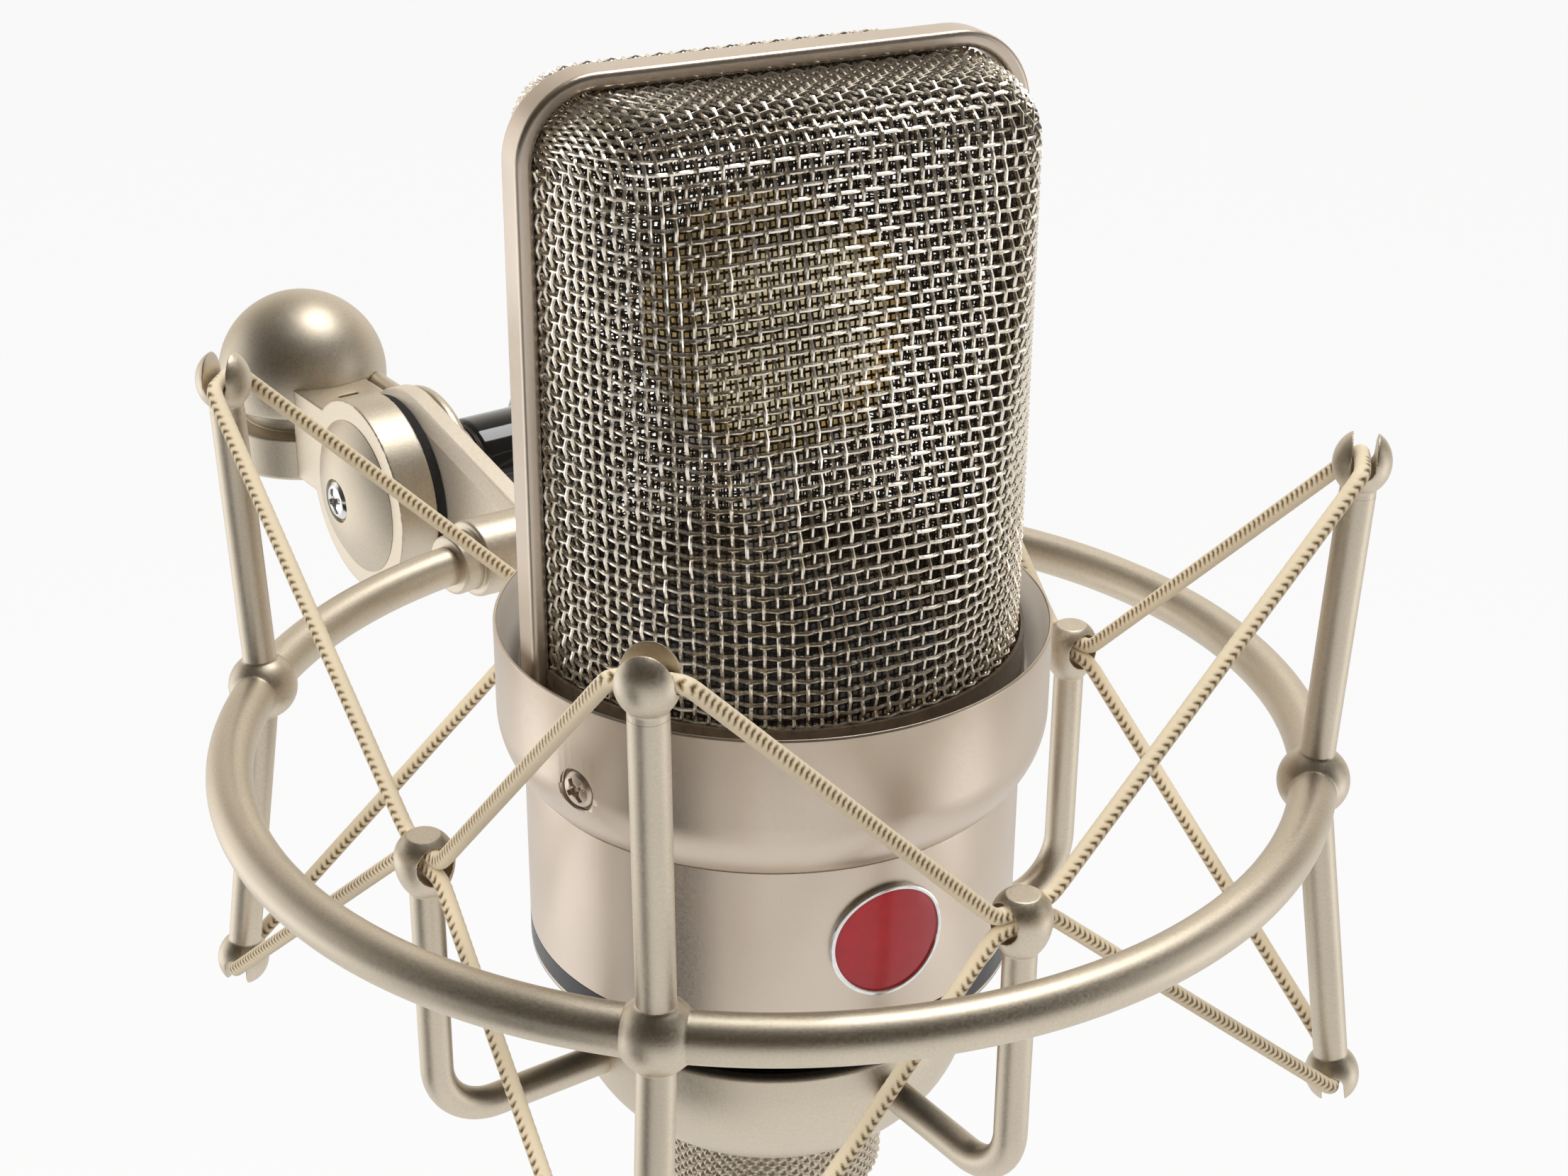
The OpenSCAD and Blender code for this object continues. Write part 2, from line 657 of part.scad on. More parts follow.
// Half outline of the head from the side of the strap, turned: a cylinder with a round top edge.
module head_turned(inset, foot) {
  r = mesh_round - inset;
  side = mesh_r - inset;
  // The turned top stands a touch proud of the wedge, which cuts it.
  top = mesh_h - inset + 0.02;
  translate([0, foot]) square([side, top - r - foot]);
  translate([0, foot]) square([side - r, top - foot]);
  translate([side - r, top - r]) circle(r);
}
module head_form(inset, foot) intersection() {
  rotate_extrude($fn = 96) head_turned(inset, foot);
  rotate([90, 0, 90]) linear_extrude(2 * mesh_d, center = true) head_side(inset, foot - 1);
}
module head_shell(inset, t) difference() {
  head_form(inset, grille_foot);
  head_form(inset + t, grille_foot - 2);
}
module front_half() intersection() {
  children();
  translate([-mesh_d, -mesh_d - seat_gap, -mesh_d]) cube([2 * mesh_d, mesh_d, 3 * mesh_d]);
}
module rear_half() intersection() {
  children();
  translate([-mesh_d, seat_gap, -mesh_d]) cube([2 * mesh_d, mesh_d, 3 * mesh_d]);
}
module front_grille() color("#8f8a7e") at_mic() front_half() head_shell(0, mesh_t);
module rear_grille() color("#8f8a7e") at_mic() rear_half() head_shell(0, mesh_t);
module front_inner_mesh() color("#6b5c38") at_mic() front_half() head_shell(mesh_t + inner_gap, inner_t);
module rear_inner_mesh() color("#6b5c38") at_mic() rear_half() head_shell(mesh_t + inner_gap, inner_t);

// Capsule on its post.
module capsule_platform() color("#e8e2d4") at_mic()
  translate([0, 0, -collar_mouth_h]) cylinder(r = platform_r, h = platform_t);

module capsule_damper() color(gloss_black) at_mic()
  translate([0, 0, -collar_mouth_h + platform_t]) difference() {
    cylinder(r = stem_r + 4, h = damper_t);
    translate([0, 0, -1]) cylinder(r = stem_r + seat_gap, h = damper_t + 2);
  }

module capsule_saddle() color(bright_steel) at_mic() difference() {
  union() {
    translate([0, 0, -collar_mouth_h + platform_t])
      cylinder(r = stem_r, h = capsule_z - capsule_r - cradle_t / 2 + collar_mouth_h - platform_t);
    intersection() {
      translate([0, 0, capsule_z]) rod_y(capsule_r + cradle_t, -cradle_w / 2, cradle_w / 2);
      translate([-capsule_r, -cradle_w, capsule_z - 2 * capsule_r])
        cube([capsule_d, 2 * cradle_w, 1.35 * capsule_r]);
    }
  }
  translate([0, 0, capsule_z]) rod_y(capsule_r + seat_gap, -cradle_w, cradle_w);
}

plate_half = capsule_t / 2 - clamp_ring_t;
module capsule_body() color(gold) at_mic() translate([0, 0, capsule_z])
  rod_y(capsule_r, -plate_half + diaphragm_t, plate_half - diaphragm_t);
module diaphragm(y) color(gold) at_mic() translate([0, 0, capsule_z])
  rod_y(capsule_r - 0.4, y, y + diaphragm_t);
module front_diaphragm() diaphragm(-plate_half);
module rear_diaphragm() diaphragm(plate_half - diaphragm_t);
module clamp_rings() color(gold) at_mic() translate([0, 0, capsule_z])
  for (side = [-1, 1])
    rotate(side > 0 ? 180 : 0) difference() {
      rod_y(capsule_r, -capsule_t / 2, -plate_half);
      rod_y(diaphragm_r, -capsule_t, 0);
      clamp_screw_places() rod_y(0.9, -capsule_t, 0);
    }
clamp_screw_count = 8;
module clamp_screw_places()
  for (k = [0 : clamp_screw_count - 1])
    rotate([0, 360 * (k + 0.5) / clamp_screw_count, 0])
      translate([(capsule_r + diaphragm_r) / 2, 0, 0]) children();
module clamp_screws() color(bright_steel) at_mic() translate([0, 0, capsule_z])
  for (side = [-1, 1])
    rotate(side > 0 ? 180 : 0) clamp_screw_places() rod_y(0.85, -capsule_t / 2 - 0.4, -plate_half - 0.05);

// Electronics inside the tube.
rail_t = 3;
rail_x = tube_in_r - 8.7;
rail_w = 9;
rail_top = -collar_mouth_h - floor_t;
rail_foot = tube_bottom + base_floor_t;
board_t = 1.6;
module chassis_rails() color(bright_steel) at_mic()
  for (side = [-1, 1])
    translate([side * rail_x - rail_t / 2, -rail_w / 2, rail_foot])
      cube([rail_t, rail_w, rail_top - rail_foot]);

module circuit_board() color("#1f5a34") at_mic()
  translate([-rail_x + rail_t / 2 + seat_gap, -board_t / 2, rail_foot + 2])
    cube([2 * rail_x - rail_t - 2 * seat_gap, board_t, rail_top - rail_foot - 4]);

board_mid = (rail_top + rail_foot) / 2;
module capacitors() color("#b03a2a") at_mic() {
  for (side = [-1, 1])
    translate([side * 11 - 7, -board_t / 2 - 8, board_mid - 4]) cube([14, 8, 12]);
  for (k = [-1 : 1])
    translate([12 * k, board_t / 2, board_mid - 7]) rod_y(4, 0, 11);
}
module input_transistor() color(bright_steel) at_mic()
  translate([0, board_t / 2, board_mid + 8]) rod_y(2.6, 0, 5);

stand_socket();
stand_dome();
swivel_ear();
pivot_cap();
pivot_cap_screw();
pivot_bolt();
friction_washer();
swivel_arm();
far_ear();
ring_clamp();
knob_ferrule();
clamp_knob();
outer_ring();
post_front_left();
post_front_right();
post_back_right();
post_back_left();
upper_elastic();
lower_elastic();
basket_cup();
arm_front();
arm_right();
arm_back();
arm_left();
lock_nut();
mic_base();
connector_insert();
connector_pins();
housing_tube();
label_band();
badge();
head_collar();
collar_screws();
grille_base();
grille_strap();
front_grille();
rear_grille();
front_inner_mesh();
rear_inner_mesh();
capsule_platform();
capsule_damper();
capsule_saddle();
capsule_body();
front_diaphragm();
rear_diaphragm();
clamp_rings();
clamp_screws();
chassis_rails();
circuit_board();
capacitors();
input_transistor();
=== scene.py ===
import bmesh
import bpy
import numpy as np
from math import cos, pi, radians, sin, sqrt, tan
from mathutils import Matrix, Vector


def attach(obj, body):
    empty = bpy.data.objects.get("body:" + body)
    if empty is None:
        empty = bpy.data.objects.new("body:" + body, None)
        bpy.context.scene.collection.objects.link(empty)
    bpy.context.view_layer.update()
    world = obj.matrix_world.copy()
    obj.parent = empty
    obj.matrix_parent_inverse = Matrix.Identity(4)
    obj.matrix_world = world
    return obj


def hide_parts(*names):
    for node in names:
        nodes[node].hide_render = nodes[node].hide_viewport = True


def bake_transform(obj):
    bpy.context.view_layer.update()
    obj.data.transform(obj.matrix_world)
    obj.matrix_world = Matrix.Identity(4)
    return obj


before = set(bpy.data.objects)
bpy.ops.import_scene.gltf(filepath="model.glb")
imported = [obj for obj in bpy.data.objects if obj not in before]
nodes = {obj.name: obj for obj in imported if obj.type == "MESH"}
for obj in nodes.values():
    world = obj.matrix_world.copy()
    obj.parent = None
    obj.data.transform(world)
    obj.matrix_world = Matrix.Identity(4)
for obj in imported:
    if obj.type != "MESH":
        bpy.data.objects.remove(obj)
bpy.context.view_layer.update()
scene = bpy.context.scene

# Camera: stands front left of the microphone and looks down on it by about 25 degrees,
# with a lens of moderate length.
eye = Vector((-0.1929, -0.4271, 0.1905))
ahead = Vector((0.521, 0.7385, -0.428)).normalized()
right = ahead.cross(Vector((0, 0, 1))).normalized()
up = right.cross(ahead)
roll = radians(0.45)
right, up = cos(roll) * right + sin(roll) * up, cos(roll) * up - sin(roll) * right
lens = bpy.data.cameras.new("camera")
lens.lens = 61.4
lens.sensor_width = 36
lens.clip_start = 0.01
camera = bpy.data.objects.new("camera", lens)
scene.collection.objects.link(camera)
camera.matrix_world = Matrix.Translation(eye) @ Matrix((right, up, -ahead)).transposed().to_4x4()
scene.camera = camera
scene.view_settings.view_transform = "Standard"

# Studio: a pale floor far under the microphone, because it hangs on a stand, and soft boxes above, behind at
# the left, at the right and in front, the front one left out of reflections. The room is dim behind the
# camera, and a dark card on the floor at the left shows only in the metal.
floor_half, floor_z = 6, -0.55
floor_seen, floor_mirrored = 0.93, 0.8


def node(tree, kind, **values):
    """A node with its properties and its input sockets set."""
    made = tree.nodes.new("ShaderNode" + kind)
    for key, value in values.items():
        if hasattr(made, key):
            setattr(made, key, value)
        else:
            made.inputs[key.replace("_", " ")].default_value = value
    return made


def feed(source, outlet, target, inlet):
    """Links an output of a node to an input of another."""
    source.id_data.links.new(source.outputs[outlet], target.inputs[inlet])


def new_material(name):
    """A node material, its tree and its shader."""
    made = bpy.data.materials.new(name)
    made.use_nodes = True
    return made, made.node_tree, made.node_tree.nodes["Principled BSDF"]


def flat_panel(name, height, corners):
    """A flat stage piece from its four corners, with the tree and the shader of its material."""
    mesh = bpy.data.meshes.new(name)
    mesh.from_pydata([(x, y, height) for x, y in corners], [], [(0, 1, 2, 3)])
    panel = bpy.data.objects.new(name, mesh)
    scene.collection.objects.link(panel)
    made, tree, shader = new_material(name)
    mesh.materials.append(made)
    return panel, tree, shader


floor_corners = [(floor_half * x, floor_half * y) for x, y in ((-1, -1), (1, -1), (1, 1), (-1, 1))]
_, tree, paint = flat_panel("floor", floor_z, floor_corners)
paint.inputs["Base Color"].default_value = (0.92, 0.92, 0.92, 1)
paint.inputs["Roughness"].default_value = 0.9
glow = node(tree, "Emission", Color=(1, 1, 1, 1))
path = node(tree, "LightPath")
mirrored = node(tree, "Math", operation="MULTIPLY")
mirrored.inputs[1].default_value = floor_mirrored
feed(path, "Is Glossy Ray", mirrored, 0)
share = node(tree, "Math", operation="MULTIPLY_ADD")
share.inputs[1].default_value = floor_seen
feed(path, "Is Camera Ray", share, 0)
feed(mirrored, 0, share, 2)
both = node(tree, "MixShader")
feed(share, 0, both, "Fac")
feed(paint, 0, both, 1)
feed(glow, 0, both, 2)
feed(both, 0, tree.nodes["Material Output"], "Surface")

card_corners = [(-2.6, -1.35), (-0.5, -0.44), (-0.5, -0.12), (-2.6, 0.25)]
card, tree, paint = flat_panel("dark_card", floor_z + 0.01, card_corners)
paint.inputs["Base Color"].default_value = (0.03, 0.026, 0.02, 1)
card.visible_camera = False
card.visible_diffuse = False
card.visible_shadow = False

world = bpy.data.worlds.new("room")
world.use_nodes = True
tree = world.node_tree
heading = node(tree, "TexCoord")
facing = node(tree, "VectorMath", operation="DOT_PRODUCT")
facing.inputs[1].default_value = (-0.53, -0.76, 0.37)
feed(heading, "Generated", facing, 0)
turn_to = node(tree, "MapRange", From_Min=-1.0)
feed(facing, "Value", turn_to, "Value")
walls = node(tree, "ValToRGB")
walls.color_ramp.elements[0].color = (1, 1, 0.98, 1)
walls.color_ramp.elements[1].color = (0.07, 0.052, 0.032, 1)
for at, level in ((0.17, 0.95), (0.30, 0.5), (0.45, 0.24), (0.65, 0.10), (0.82, 0.07)):
    walls.color_ramp.elements.new(at).color = (level, 0.93 * level, 0.83 * level, 1)
feed(turn_to, 0, walls, "Fac")
path = node(tree, "LightPath")
backdrop = node(tree, "Mix", data_type="RGBA")
feed(path, "Is Camera Ray", backdrop, "Factor")
feed(walls, "Color", backdrop, 6)
backdrop.inputs[7].default_value = (1, 1, 1, 1)
feed(backdrop, 2, tree.nodes["Background"], "Color")
scene.world = world


def soft_box(name, place, target, width, height, power):
    """A soft rectangular lamp that faces a target and stays out of the picture."""
    lamp = bpy.data.lights.new(name, "AREA")
    lamp.shape = "RECTANGLE"
    lamp.size = width
    lamp.size_y = height
    lamp.energy = power
    box = bpy.data.objects.new(name, lamp)
    box.location = place
    box.rotation_euler = (Vector(target) - Vector(place)).to_track_quat("-Z", "Y").to_euler()
    box.visible_camera = False
    scene.collection.objects.link(box)
    return box


middle = (0, -0.12, 0.02)
soft_box("top_box", (0.36, -0.04, 0.98), middle, 0.5, 0.5, 5)
soft_box("back_left_box", (-0.60, 0.60, -0.05), middle, 0.75, 1.0, 2.0)
soft_box("right_box", (0.72, -0.76, 0.0), middle, 0.4, 1.0, 1.25)
fill = soft_box("fill_box", (-0.75, -0.75, 0.95), middle, 1.0, 1.0, 14)
fill.visible_glossy = False

# Stand head: a turned metal socket with the stand thread and a domed cap over its neck.
# Both are brass, blasted with fine beads and nickel plated with a warm satin tone.
socket_r, socket_h, neck_r, neck_h, thread_depth = 14.5, 8.2, 11.0, 17.0, 15.0
thread_r, thread_root, thread_pitch = 7.94, 7.45, 0.94
dome_r, dome_z, dome_foot = 15.2, 15.7, 11.8


def mesh_piece(name, verts, faces, place):
    """An object from vertices in millimetres and faces, set in its place, smooth between its sharp edges."""
    mesh = bpy.data.meshes.new(name)
    mesh.from_pydata((np.asarray(verts, float) * 0.001).tolist(), [], faces)
    mesh.transform(place)
    mesh.update()
    mesh.shade_smooth()
    mesh.set_sharp_from_angle(angle=radians(42))
    obj = bpy.data.objects.new(name, mesh)
    scene.collection.objects.link(obj)
    even = obj.modifiers.new("even_normals", "WEIGHTED_NORMAL")
    even.keep_sharp = True
    return obj


def soften(points, steps=5):
    """Outline points (r, z, rounding) with the corners rounded."""
    out = []
    for i, point in enumerate(points):
        here = np.array(point[:2], float)
        if len(point) < 3 or i in (0, len(points) - 1):
            out.append(here)
            continue
        before = np.array(points[i - 1][:2], float) - here
        after = np.array(points[i + 1][:2], float) - here
        cut = min(point[2], 0.49 * np.linalg.norm(before), 0.49 * np.linalg.norm(after))
        start = here + before / np.linalg.norm(before) * cut
        end = here + after / np.linalg.norm(after) * cut
        for t in np.linspace(0, 1, steps + 1):
            out.append((1 - t) ** 2 * start + 2 * t * (1 - t) * here + t * t * end)
    return out


def arc(cx, cz, r, start, end, steps):
    """Points of an arc in an outline, angles in degrees from the outward direction."""
    return [(cx + r * cos(radians(a)), cz + r * sin(radians(a))) for a in np.linspace(start, end, steps)]


def turned(outline, steps=96):
    """Vertices and faces of an outline (r, z) turned about Z."""
    verts, faces, rings = [], [], []
    for r, z in outline:
        if r < 1e-6:
            rings.append([len(verts)] * steps)
            verts.append((0, 0, z))
        else:
            rings.append(list(range(len(verts), len(verts) + steps)))
            verts += [(r * cos(2 * pi * k / steps), r * sin(2 * pi * k / steps), z) for k in range(steps)]
    for low, high in zip(rings, rings[1:]):
        for k in range(steps):
            j = (k + 1) % steps
            face = []
            for v in (low[k], low[j], high[j], high[k]):
                if v not in face:
                    face.append(v)
            if len(face) > 2:
                faces.append(face)
    return verts, faces


def new_skin(name, inputs):
    """A shader node group with float and colour inputs that puts out a skin's tone, gloss and relief."""
    group = bpy.data.node_groups.new(name, "ShaderNodeTree")
    number, tone = "NodeSocketFloat", "NodeSocketColor"
    for label, value in inputs.items():
        kind = tone if isinstance(value, tuple) else number
        group.interface.new_socket(label, in_out="INPUT", socket_type=kind).default_value = value
    for label, kind in (("Color", tone), ("Roughness", number), ("Height", number)):
        group.interface.new_socket(label, in_out="OUTPUT", socket_type=kind)
    return group, group.nodes.new("NodeGroupInput"), group.nodes.new("NodeGroupOutput")


# Blasted skin: the surface that bead blasting leaves on plated metal. It has tiny dents and a faint cloud in
# the tone, and painted shade in the dents, whose colour is darker.
blasted, entry, leave = new_skin("blasted_skin", {
    "Color": (0.6, 0.55, 0.46, 1), "Dent size": 2600.0, "Roughness": 0.33, "Dent tone": 0.1})
place = node(blasted, "TexCoord")
dents = node(blasted, "TexNoise", Detail=3.0, Roughness=0.6)
feed(place, "Object", dents, "Vector")
feed(entry, "Dent size", dents, "Scale")
cloud = node(blasted, "TexNoise", Scale=45.0, Detail=2.0)
feed(place, "Object", cloud, "Vector")
depth = node(blasted, "MapRange", From_Min=0.3, From_Max=0.7, To_Min=-1.0, To_Max=0.8)
feed(dents, "Fac", depth, "Value")
# Painted shade: the colour is darker in the dents, where the noise and the relief are low.
tone = node(blasted, "Math", operation="MULTIPLY_ADD")
feed(depth, 0, tone, 0)
feed(entry, "Dent tone", tone, 1)
tone.inputs[2].default_value = 1.0
drift = node(blasted, "MapRange", From_Min=0.3, From_Max=0.7, To_Min=0.95, To_Max=1.04)
feed(cloud, "Fac", drift, "Value")
gain = node(blasted, "Math", operation="MULTIPLY")
feed(tone, 0, gain, 0)
feed(drift, 0, gain, 1)
tint = node(blasted, "VectorMath", operation="SCALE")
feed(entry, "Color", tint, 0)
feed(gain, 0, tint, "Scale")
feed(tint, 0, leave, "Color")
spread = node(blasted, "MapRange", From_Min=0.3, From_Max=0.7, To_Min=-0.05, To_Max=0.06)
feed(dents, "Fac", spread, "Value")
rough = node(blasted, "Math", operation="ADD")
feed(entry, "Roughness", rough, 0)
feed(spread, 0, rough, 1)
feed(rough, 0, leave, "Roughness")
feed(dents, "Fac", leave, "Height")


def put_on(skin, tree, shader, relief, depth=0.0001):
    """Links a skin's tone, gloss and relief to a shader."""
    feed(skin, "Color", shader, "Base Color")
    feed(skin, "Roughness", shader, "Roughness")
    if relief:
        bump = node(tree, "Bump", Strength=relief, Distance=depth)
        feed(skin, "Height", bump, "Height")
        feed(bump, "Normal", shader, "Normal")


def blasted_metal(name, color, roughness, dent_size=2600.0, relief=0.12, painted_dent_shade=0.1, metallic=1.0):
    """Plated metal with the blasted skin. A metallic under 1 gives a paler, more diffuse copy of a plating:
    painted light, so that a part reads bright.
    """
    made, tree, shader = new_material(name)
    shader.inputs["Metallic"].default_value = metallic
    skin = node(tree, "Group", node_tree=blasted, Color=(*color, 1), Dent_size=dent_size, Roughness=roughness,
                Dent_tone=painted_dent_shade)
    put_on(skin, tree, shader, relief)
    return made


def dress(obj, material, body=None, stands_for=()):
    """Gives a piece its material, its body and the nodes that it stands for."""
    obj.data.materials.clear()
    obj.data.materials.append(material)
    if body:
        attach(obj, body)
    if stands_for:
        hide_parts(*stands_for)
    return obj


def fit(name, shape, place, material, body, slot, *stands_for):
    """A new piece from its shape, in its place and dressed."""
    return dress(mesh_piece(name, *shape, place), material, body, stands_for)


satin_nickel = blasted_metal("satin_nickel", (0.70, 0.62, 0.50), 0.45)

thread = []
for z in np.arange(0.9, thread_depth - 0.4, thread_pitch):
    thread += [(thread_r, z), (thread_root, z + thread_pitch / 2)]
socket_outline = [(0, thread_depth), (7.9, thread_depth)] + thread[::-1] + [(thread_r, 0.4)]
socket_outline += soften([(8.6, 0), (socket_r, 0, 0.9), (socket_r, socket_h, 0.7), (neck_r, socket_h, 0.3),
                          (neck_r, neck_h), (0, neck_h)])
fit("socket", turned(socket_outline), Matrix(), satin_nickel, "stand_head", "satin_nickel", "stand_socket")
dome_low = -np.degrees(np.arcsin((dome_z - dome_foot) / dome_r))
dome_outline = soften([(neck_r + 0.2, dome_foot + 2), (neck_r + 0.2, dome_foot, 0.3), (14.4, dome_foot, 0.2),
                       (14.7, dome_foot + 0.3)])
dome_outline += arc(0, dome_z, dome_r, dome_low + 2, 90, 40)
dome_outline[-1] = (0, dome_z + dome_r)
fit("dome", turned(dome_outline, 128), Matrix(), satin_nickel, "stand_head", "satin_nickel", "stand_dome")

# Swivel, stand side: a thick disc and a block cast in one, with a narrow slit on top, fixed to the dome.
# A second ear with a crowned disc stands on the other side of the arm. Blasted and plated like the dome.
swivel = Matrix.Translation((0, -0.036, 0.0057))
disc_r, disc_out, disc_in = 17.0, -8.0, -1.0
far_r, far_in, far_out = 16.5, 6.3, 10.3
block_low, block_high, block_back, block_side = -4.8, 12.2, 33, 5.5
slit_y, slit_width, slit_depth = 15.4, 0.8, 6


def along_x(shape):
    """A turned shape laid along X."""
    return [(z, x, y) for x, y, z in shape[0]], shape[1]


def block(low, high, round_by=0.8):
    """Vertices and faces of a box with rounded edges."""
    work = bmesh.new()
    bmesh.ops.create_cube(work, size=1.0)
    low, high = np.array(low, float), np.array(high, float)
    for v in work.verts:
        v.co = Vector((low + high) / 2 + np.array(v.co) * (high - low))
    bmesh.ops.bevel(work, geom=list(work.edges), offset=round_by, segments=4, profile=0.5, affect="EDGES")
    work.verts.index_update()
    out = [tuple(v.co) for v in work.verts], [[v.index for v in f.verts] for f in work.faces]
    work.free()
    return out


def joined(*parts):
    """One list of vertices and faces from several."""
    verts, faces = [], []
    for v, f in parts:
        start = len(verts)
        verts += [tuple(p) for p in v]
        faces += [[i + start for i in face] for face in f]
    return verts, faces


def melted(parts, cutters=(), grain=0.15, rounds=6):
    """Vertices and faces of overlapping parts, less the cutters, melted into one with soft edges."""
    def temp(verts, faces):
        mesh = bpy.data.meshes.new("melt")
        mesh.from_pydata([tuple(v) for v in verts], [], faces)
        obj = bpy.data.objects.new("melt", mesh)
        scene.collection.objects.link(obj)
        return obj

    def fuse(obj):
        modifier = obj.modifiers.new("fuse", "REMESH")
        modifier.mode = "VOXEL"
        modifier.voxel_size = grain

    base = temp(*joined(*parts))
    fuse(base)
    tools = [temp(*part) for part in cutters]
    for tool in tools:
        cut = base.modifiers.new("cut", "BOOLEAN")
        cut.operation = "DIFFERENCE"
        cut.solver = "EXACT"
        cut.object = tool
    if tools:
        fuse(base)
    soft = base.modifiers.new("soft", "SMOOTH")
    soft.factor = 0.5
    soft.iterations = rounds
    bpy.context.view_layer.update()
    result = bpy.data.meshes.new_from_object(base.evaluated_get(bpy.context.evaluated_depsgraph_get()))
    out = [tuple(v.co) for v in result.vertices], [list(p.vertices) for p in result.polygons]
    bpy.data.meshes.remove(result)
    for obj in [base, *tools]:
        mesh = obj.data
        bpy.data.objects.remove(obj)
        bpy.data.meshes.remove(mesh)
    return out


def moved(shape, by, turn=np.eye(3)):
    """A shape turned by a matrix and shifted by a vector."""
    return [tuple(turn @ np.array(v) + by) for v in shape[0]], shape[1]


def ball(centre, r, steps):
    """Vertices and faces of a ball."""
    outline = arc(0, 0, r, -90, 90, steps // 2 + 1)
    outline[0], outline[-1] = (0, -r), (0, r)
    return moved(turned(outline, steps), centre)


def rod(r, low, high, steps):
    """Vertices and faces of a plain cylinder along Z."""
    return turned([(0, low), (r, low), (r, high), (0, high)], steps)


# Seen from the swivel axis, the dome's middle is 36 mm behind and 10 mm above.
dome_seat = [ball(np.array((0, 36, 10)), dome_r + 0.05, 128),
             moved(rod(socket_r + 0.05, -8, 6.5, 128), (0, 36, 0))]
slit = block((-2.7, slit_y, block_high - slit_depth), (1.2, slit_y + slit_width, block_high + 1), 0.01)
arm_room = along_x(rod(disc_r + 0.3, disc_in, 8, 160))
ear = melted(
    [along_x(rod(disc_r, disc_out, disc_in, 160)),
     block((disc_out, 0, block_low), (block_side, block_back, block_high), 0.05)],
    dome_seat + [arm_room, slit], 0.22, 3)
fit("ear", ear, swivel, satin_nickel, "stand_head", "satin_nickel", "swivel_ear")
crowned_disc = soften([(0, far_in), (far_r, far_in, 0.4), (far_r, 8.0, 1.6), (11.6, far_out, 2.5),
                       (0, far_out)])
far_ear = melted(
    [along_x(turned(crowned_disc, 160)),
     block((far_in, 0, block_low), (far_out, block_back, block_high), 1.9)],
    dome_seat + [along_x(rod(3.06, 5, 12, 40))], 0.24, 5)
fit("crowned_ear", far_ear, swivel, satin_nickel, "stand_head", "satin_nickel", "far_ear")

# Swivel cover and screw: a low domed cap over the outer face of the disc, spun and plated like it, with a
# round recess in its middle. A bright steel screw with a cross slot sits in the recess and holds the cap.
cap_r, cap_h = 13.5, 4.0
recess_r, recess_x = 3.9, -11.1
cap_curve = (cap_r ** 2 + cap_h ** 2) / (2 * cap_h)
cap_edge = np.degrees(np.arcsin(cap_r / cap_curve))
cap_outline = [(0, disc_out), (cap_r, disc_out)]
recess_edge = np.degrees(np.arcsin(recess_r / cap_curve))
cap_middle = disc_out - 0.1 + (cap_curve - cap_h)
cap_outline += [(cap_curve * sin(radians(a)), cap_middle - cap_curve * cos(radians(a)))
                for a in np.linspace(cap_edge, recess_edge, 24)]
cap_outline += [(recess_r - 0.1, recess_x), (0, recess_x)]
fit("swivel_cover", along_x(turned(cap_outline, 96)), swivel, satin_nickel, "stand_head", "satin_nickel",
    "pivot_cap")

# The screw's shape stands along +Z with its seat at z = 0.
head_outline = [(0, -1.2), (2.7, -1.2), (2.75, 0.0), (2.6, 0.35), (2.1, 0.75), (1.2, 1.0), (0, 1.08)]
slot_half, slot_reach, slot_floor = 0.36, 1.75, 0.15
slots = [block((-slot_reach, -slot_half, slot_floor), (slot_reach, slot_half, 2), 0.12),
         block((-slot_half, -slot_reach, slot_floor), (slot_half, slot_reach, 2), 0.12),
         turned([(0, -0.3), (0.85, 0.9), (0.85, 2), (0, 2)], 24)]
screw_head = melted([turned(head_outline, 64)], slots, 0.07, 3)
bright_steel = blasted_metal("bright_steel", (0.78, 0.78, 0.77), 0.16, 900.0, 0.02)
slot_turn, cover_screw_scale = 20, 1.3
screw_place = swivel @ Matrix.Translation((recess_x * 0.001, 0, 0)) @ Matrix.Rotation(radians(-90), 4, "Y")
screw_place = screw_place @ Matrix.Rotation(radians(slot_turn), 4, "Z") @ Matrix.Scale(cover_screw_scale, 4)
fit("cover_screw", screw_head, screw_place, bright_steel, "stand_head", "bright_steel", "pivot_cap_screw")

# Moulded skin: the surface of fibre, plastic, rubber and enamel. It has a fine grain between two tones, and
# the gloss varies with the grain.
moulded, entry, leave = new_skin("moulded_skin", {
    "Dark tone": (0.01, 0.01, 0.01, 1), "Light tone": (0.02, 0.02, 0.02, 1), "Grain size": 700.0,
    "Detail": 3.0, "Dark below": 0.3, "Light above": 0.7, "Smoothest": 0.3, "Roughest": 0.5})
place = node(moulded, "TexCoord")
grain = node(moulded, "TexNoise")
feed(place, "Object", grain, "Vector")
feed(entry, "Grain size", grain, "Scale")
feed(entry, "Detail", grain, "Detail")
lightness = node(moulded, "MapRange")
feed(grain, "Fac", lightness, "Value")
feed(entry, "Dark below", lightness, "From Min")
feed(entry, "Light above", lightness, "From Max")
tones = node(moulded, "Mix", data_type="RGBA")
feed(lightness, 0, tones, "Factor")
feed(entry, "Dark tone", tones, 6)
feed(entry, "Light tone", tones, 7)
feed(tones, 2, leave, "Color")
gloss = node(moulded, "MapRange")
feed(grain, "Fac", gloss, "Value")
feed(entry, "Smoothest", gloss, "To Min")
feed(entry, "Roughest", gloss, "To Max")
feed(gloss, 0, leave, "Roughness")
feed(grain, "Fac", leave, "Height")


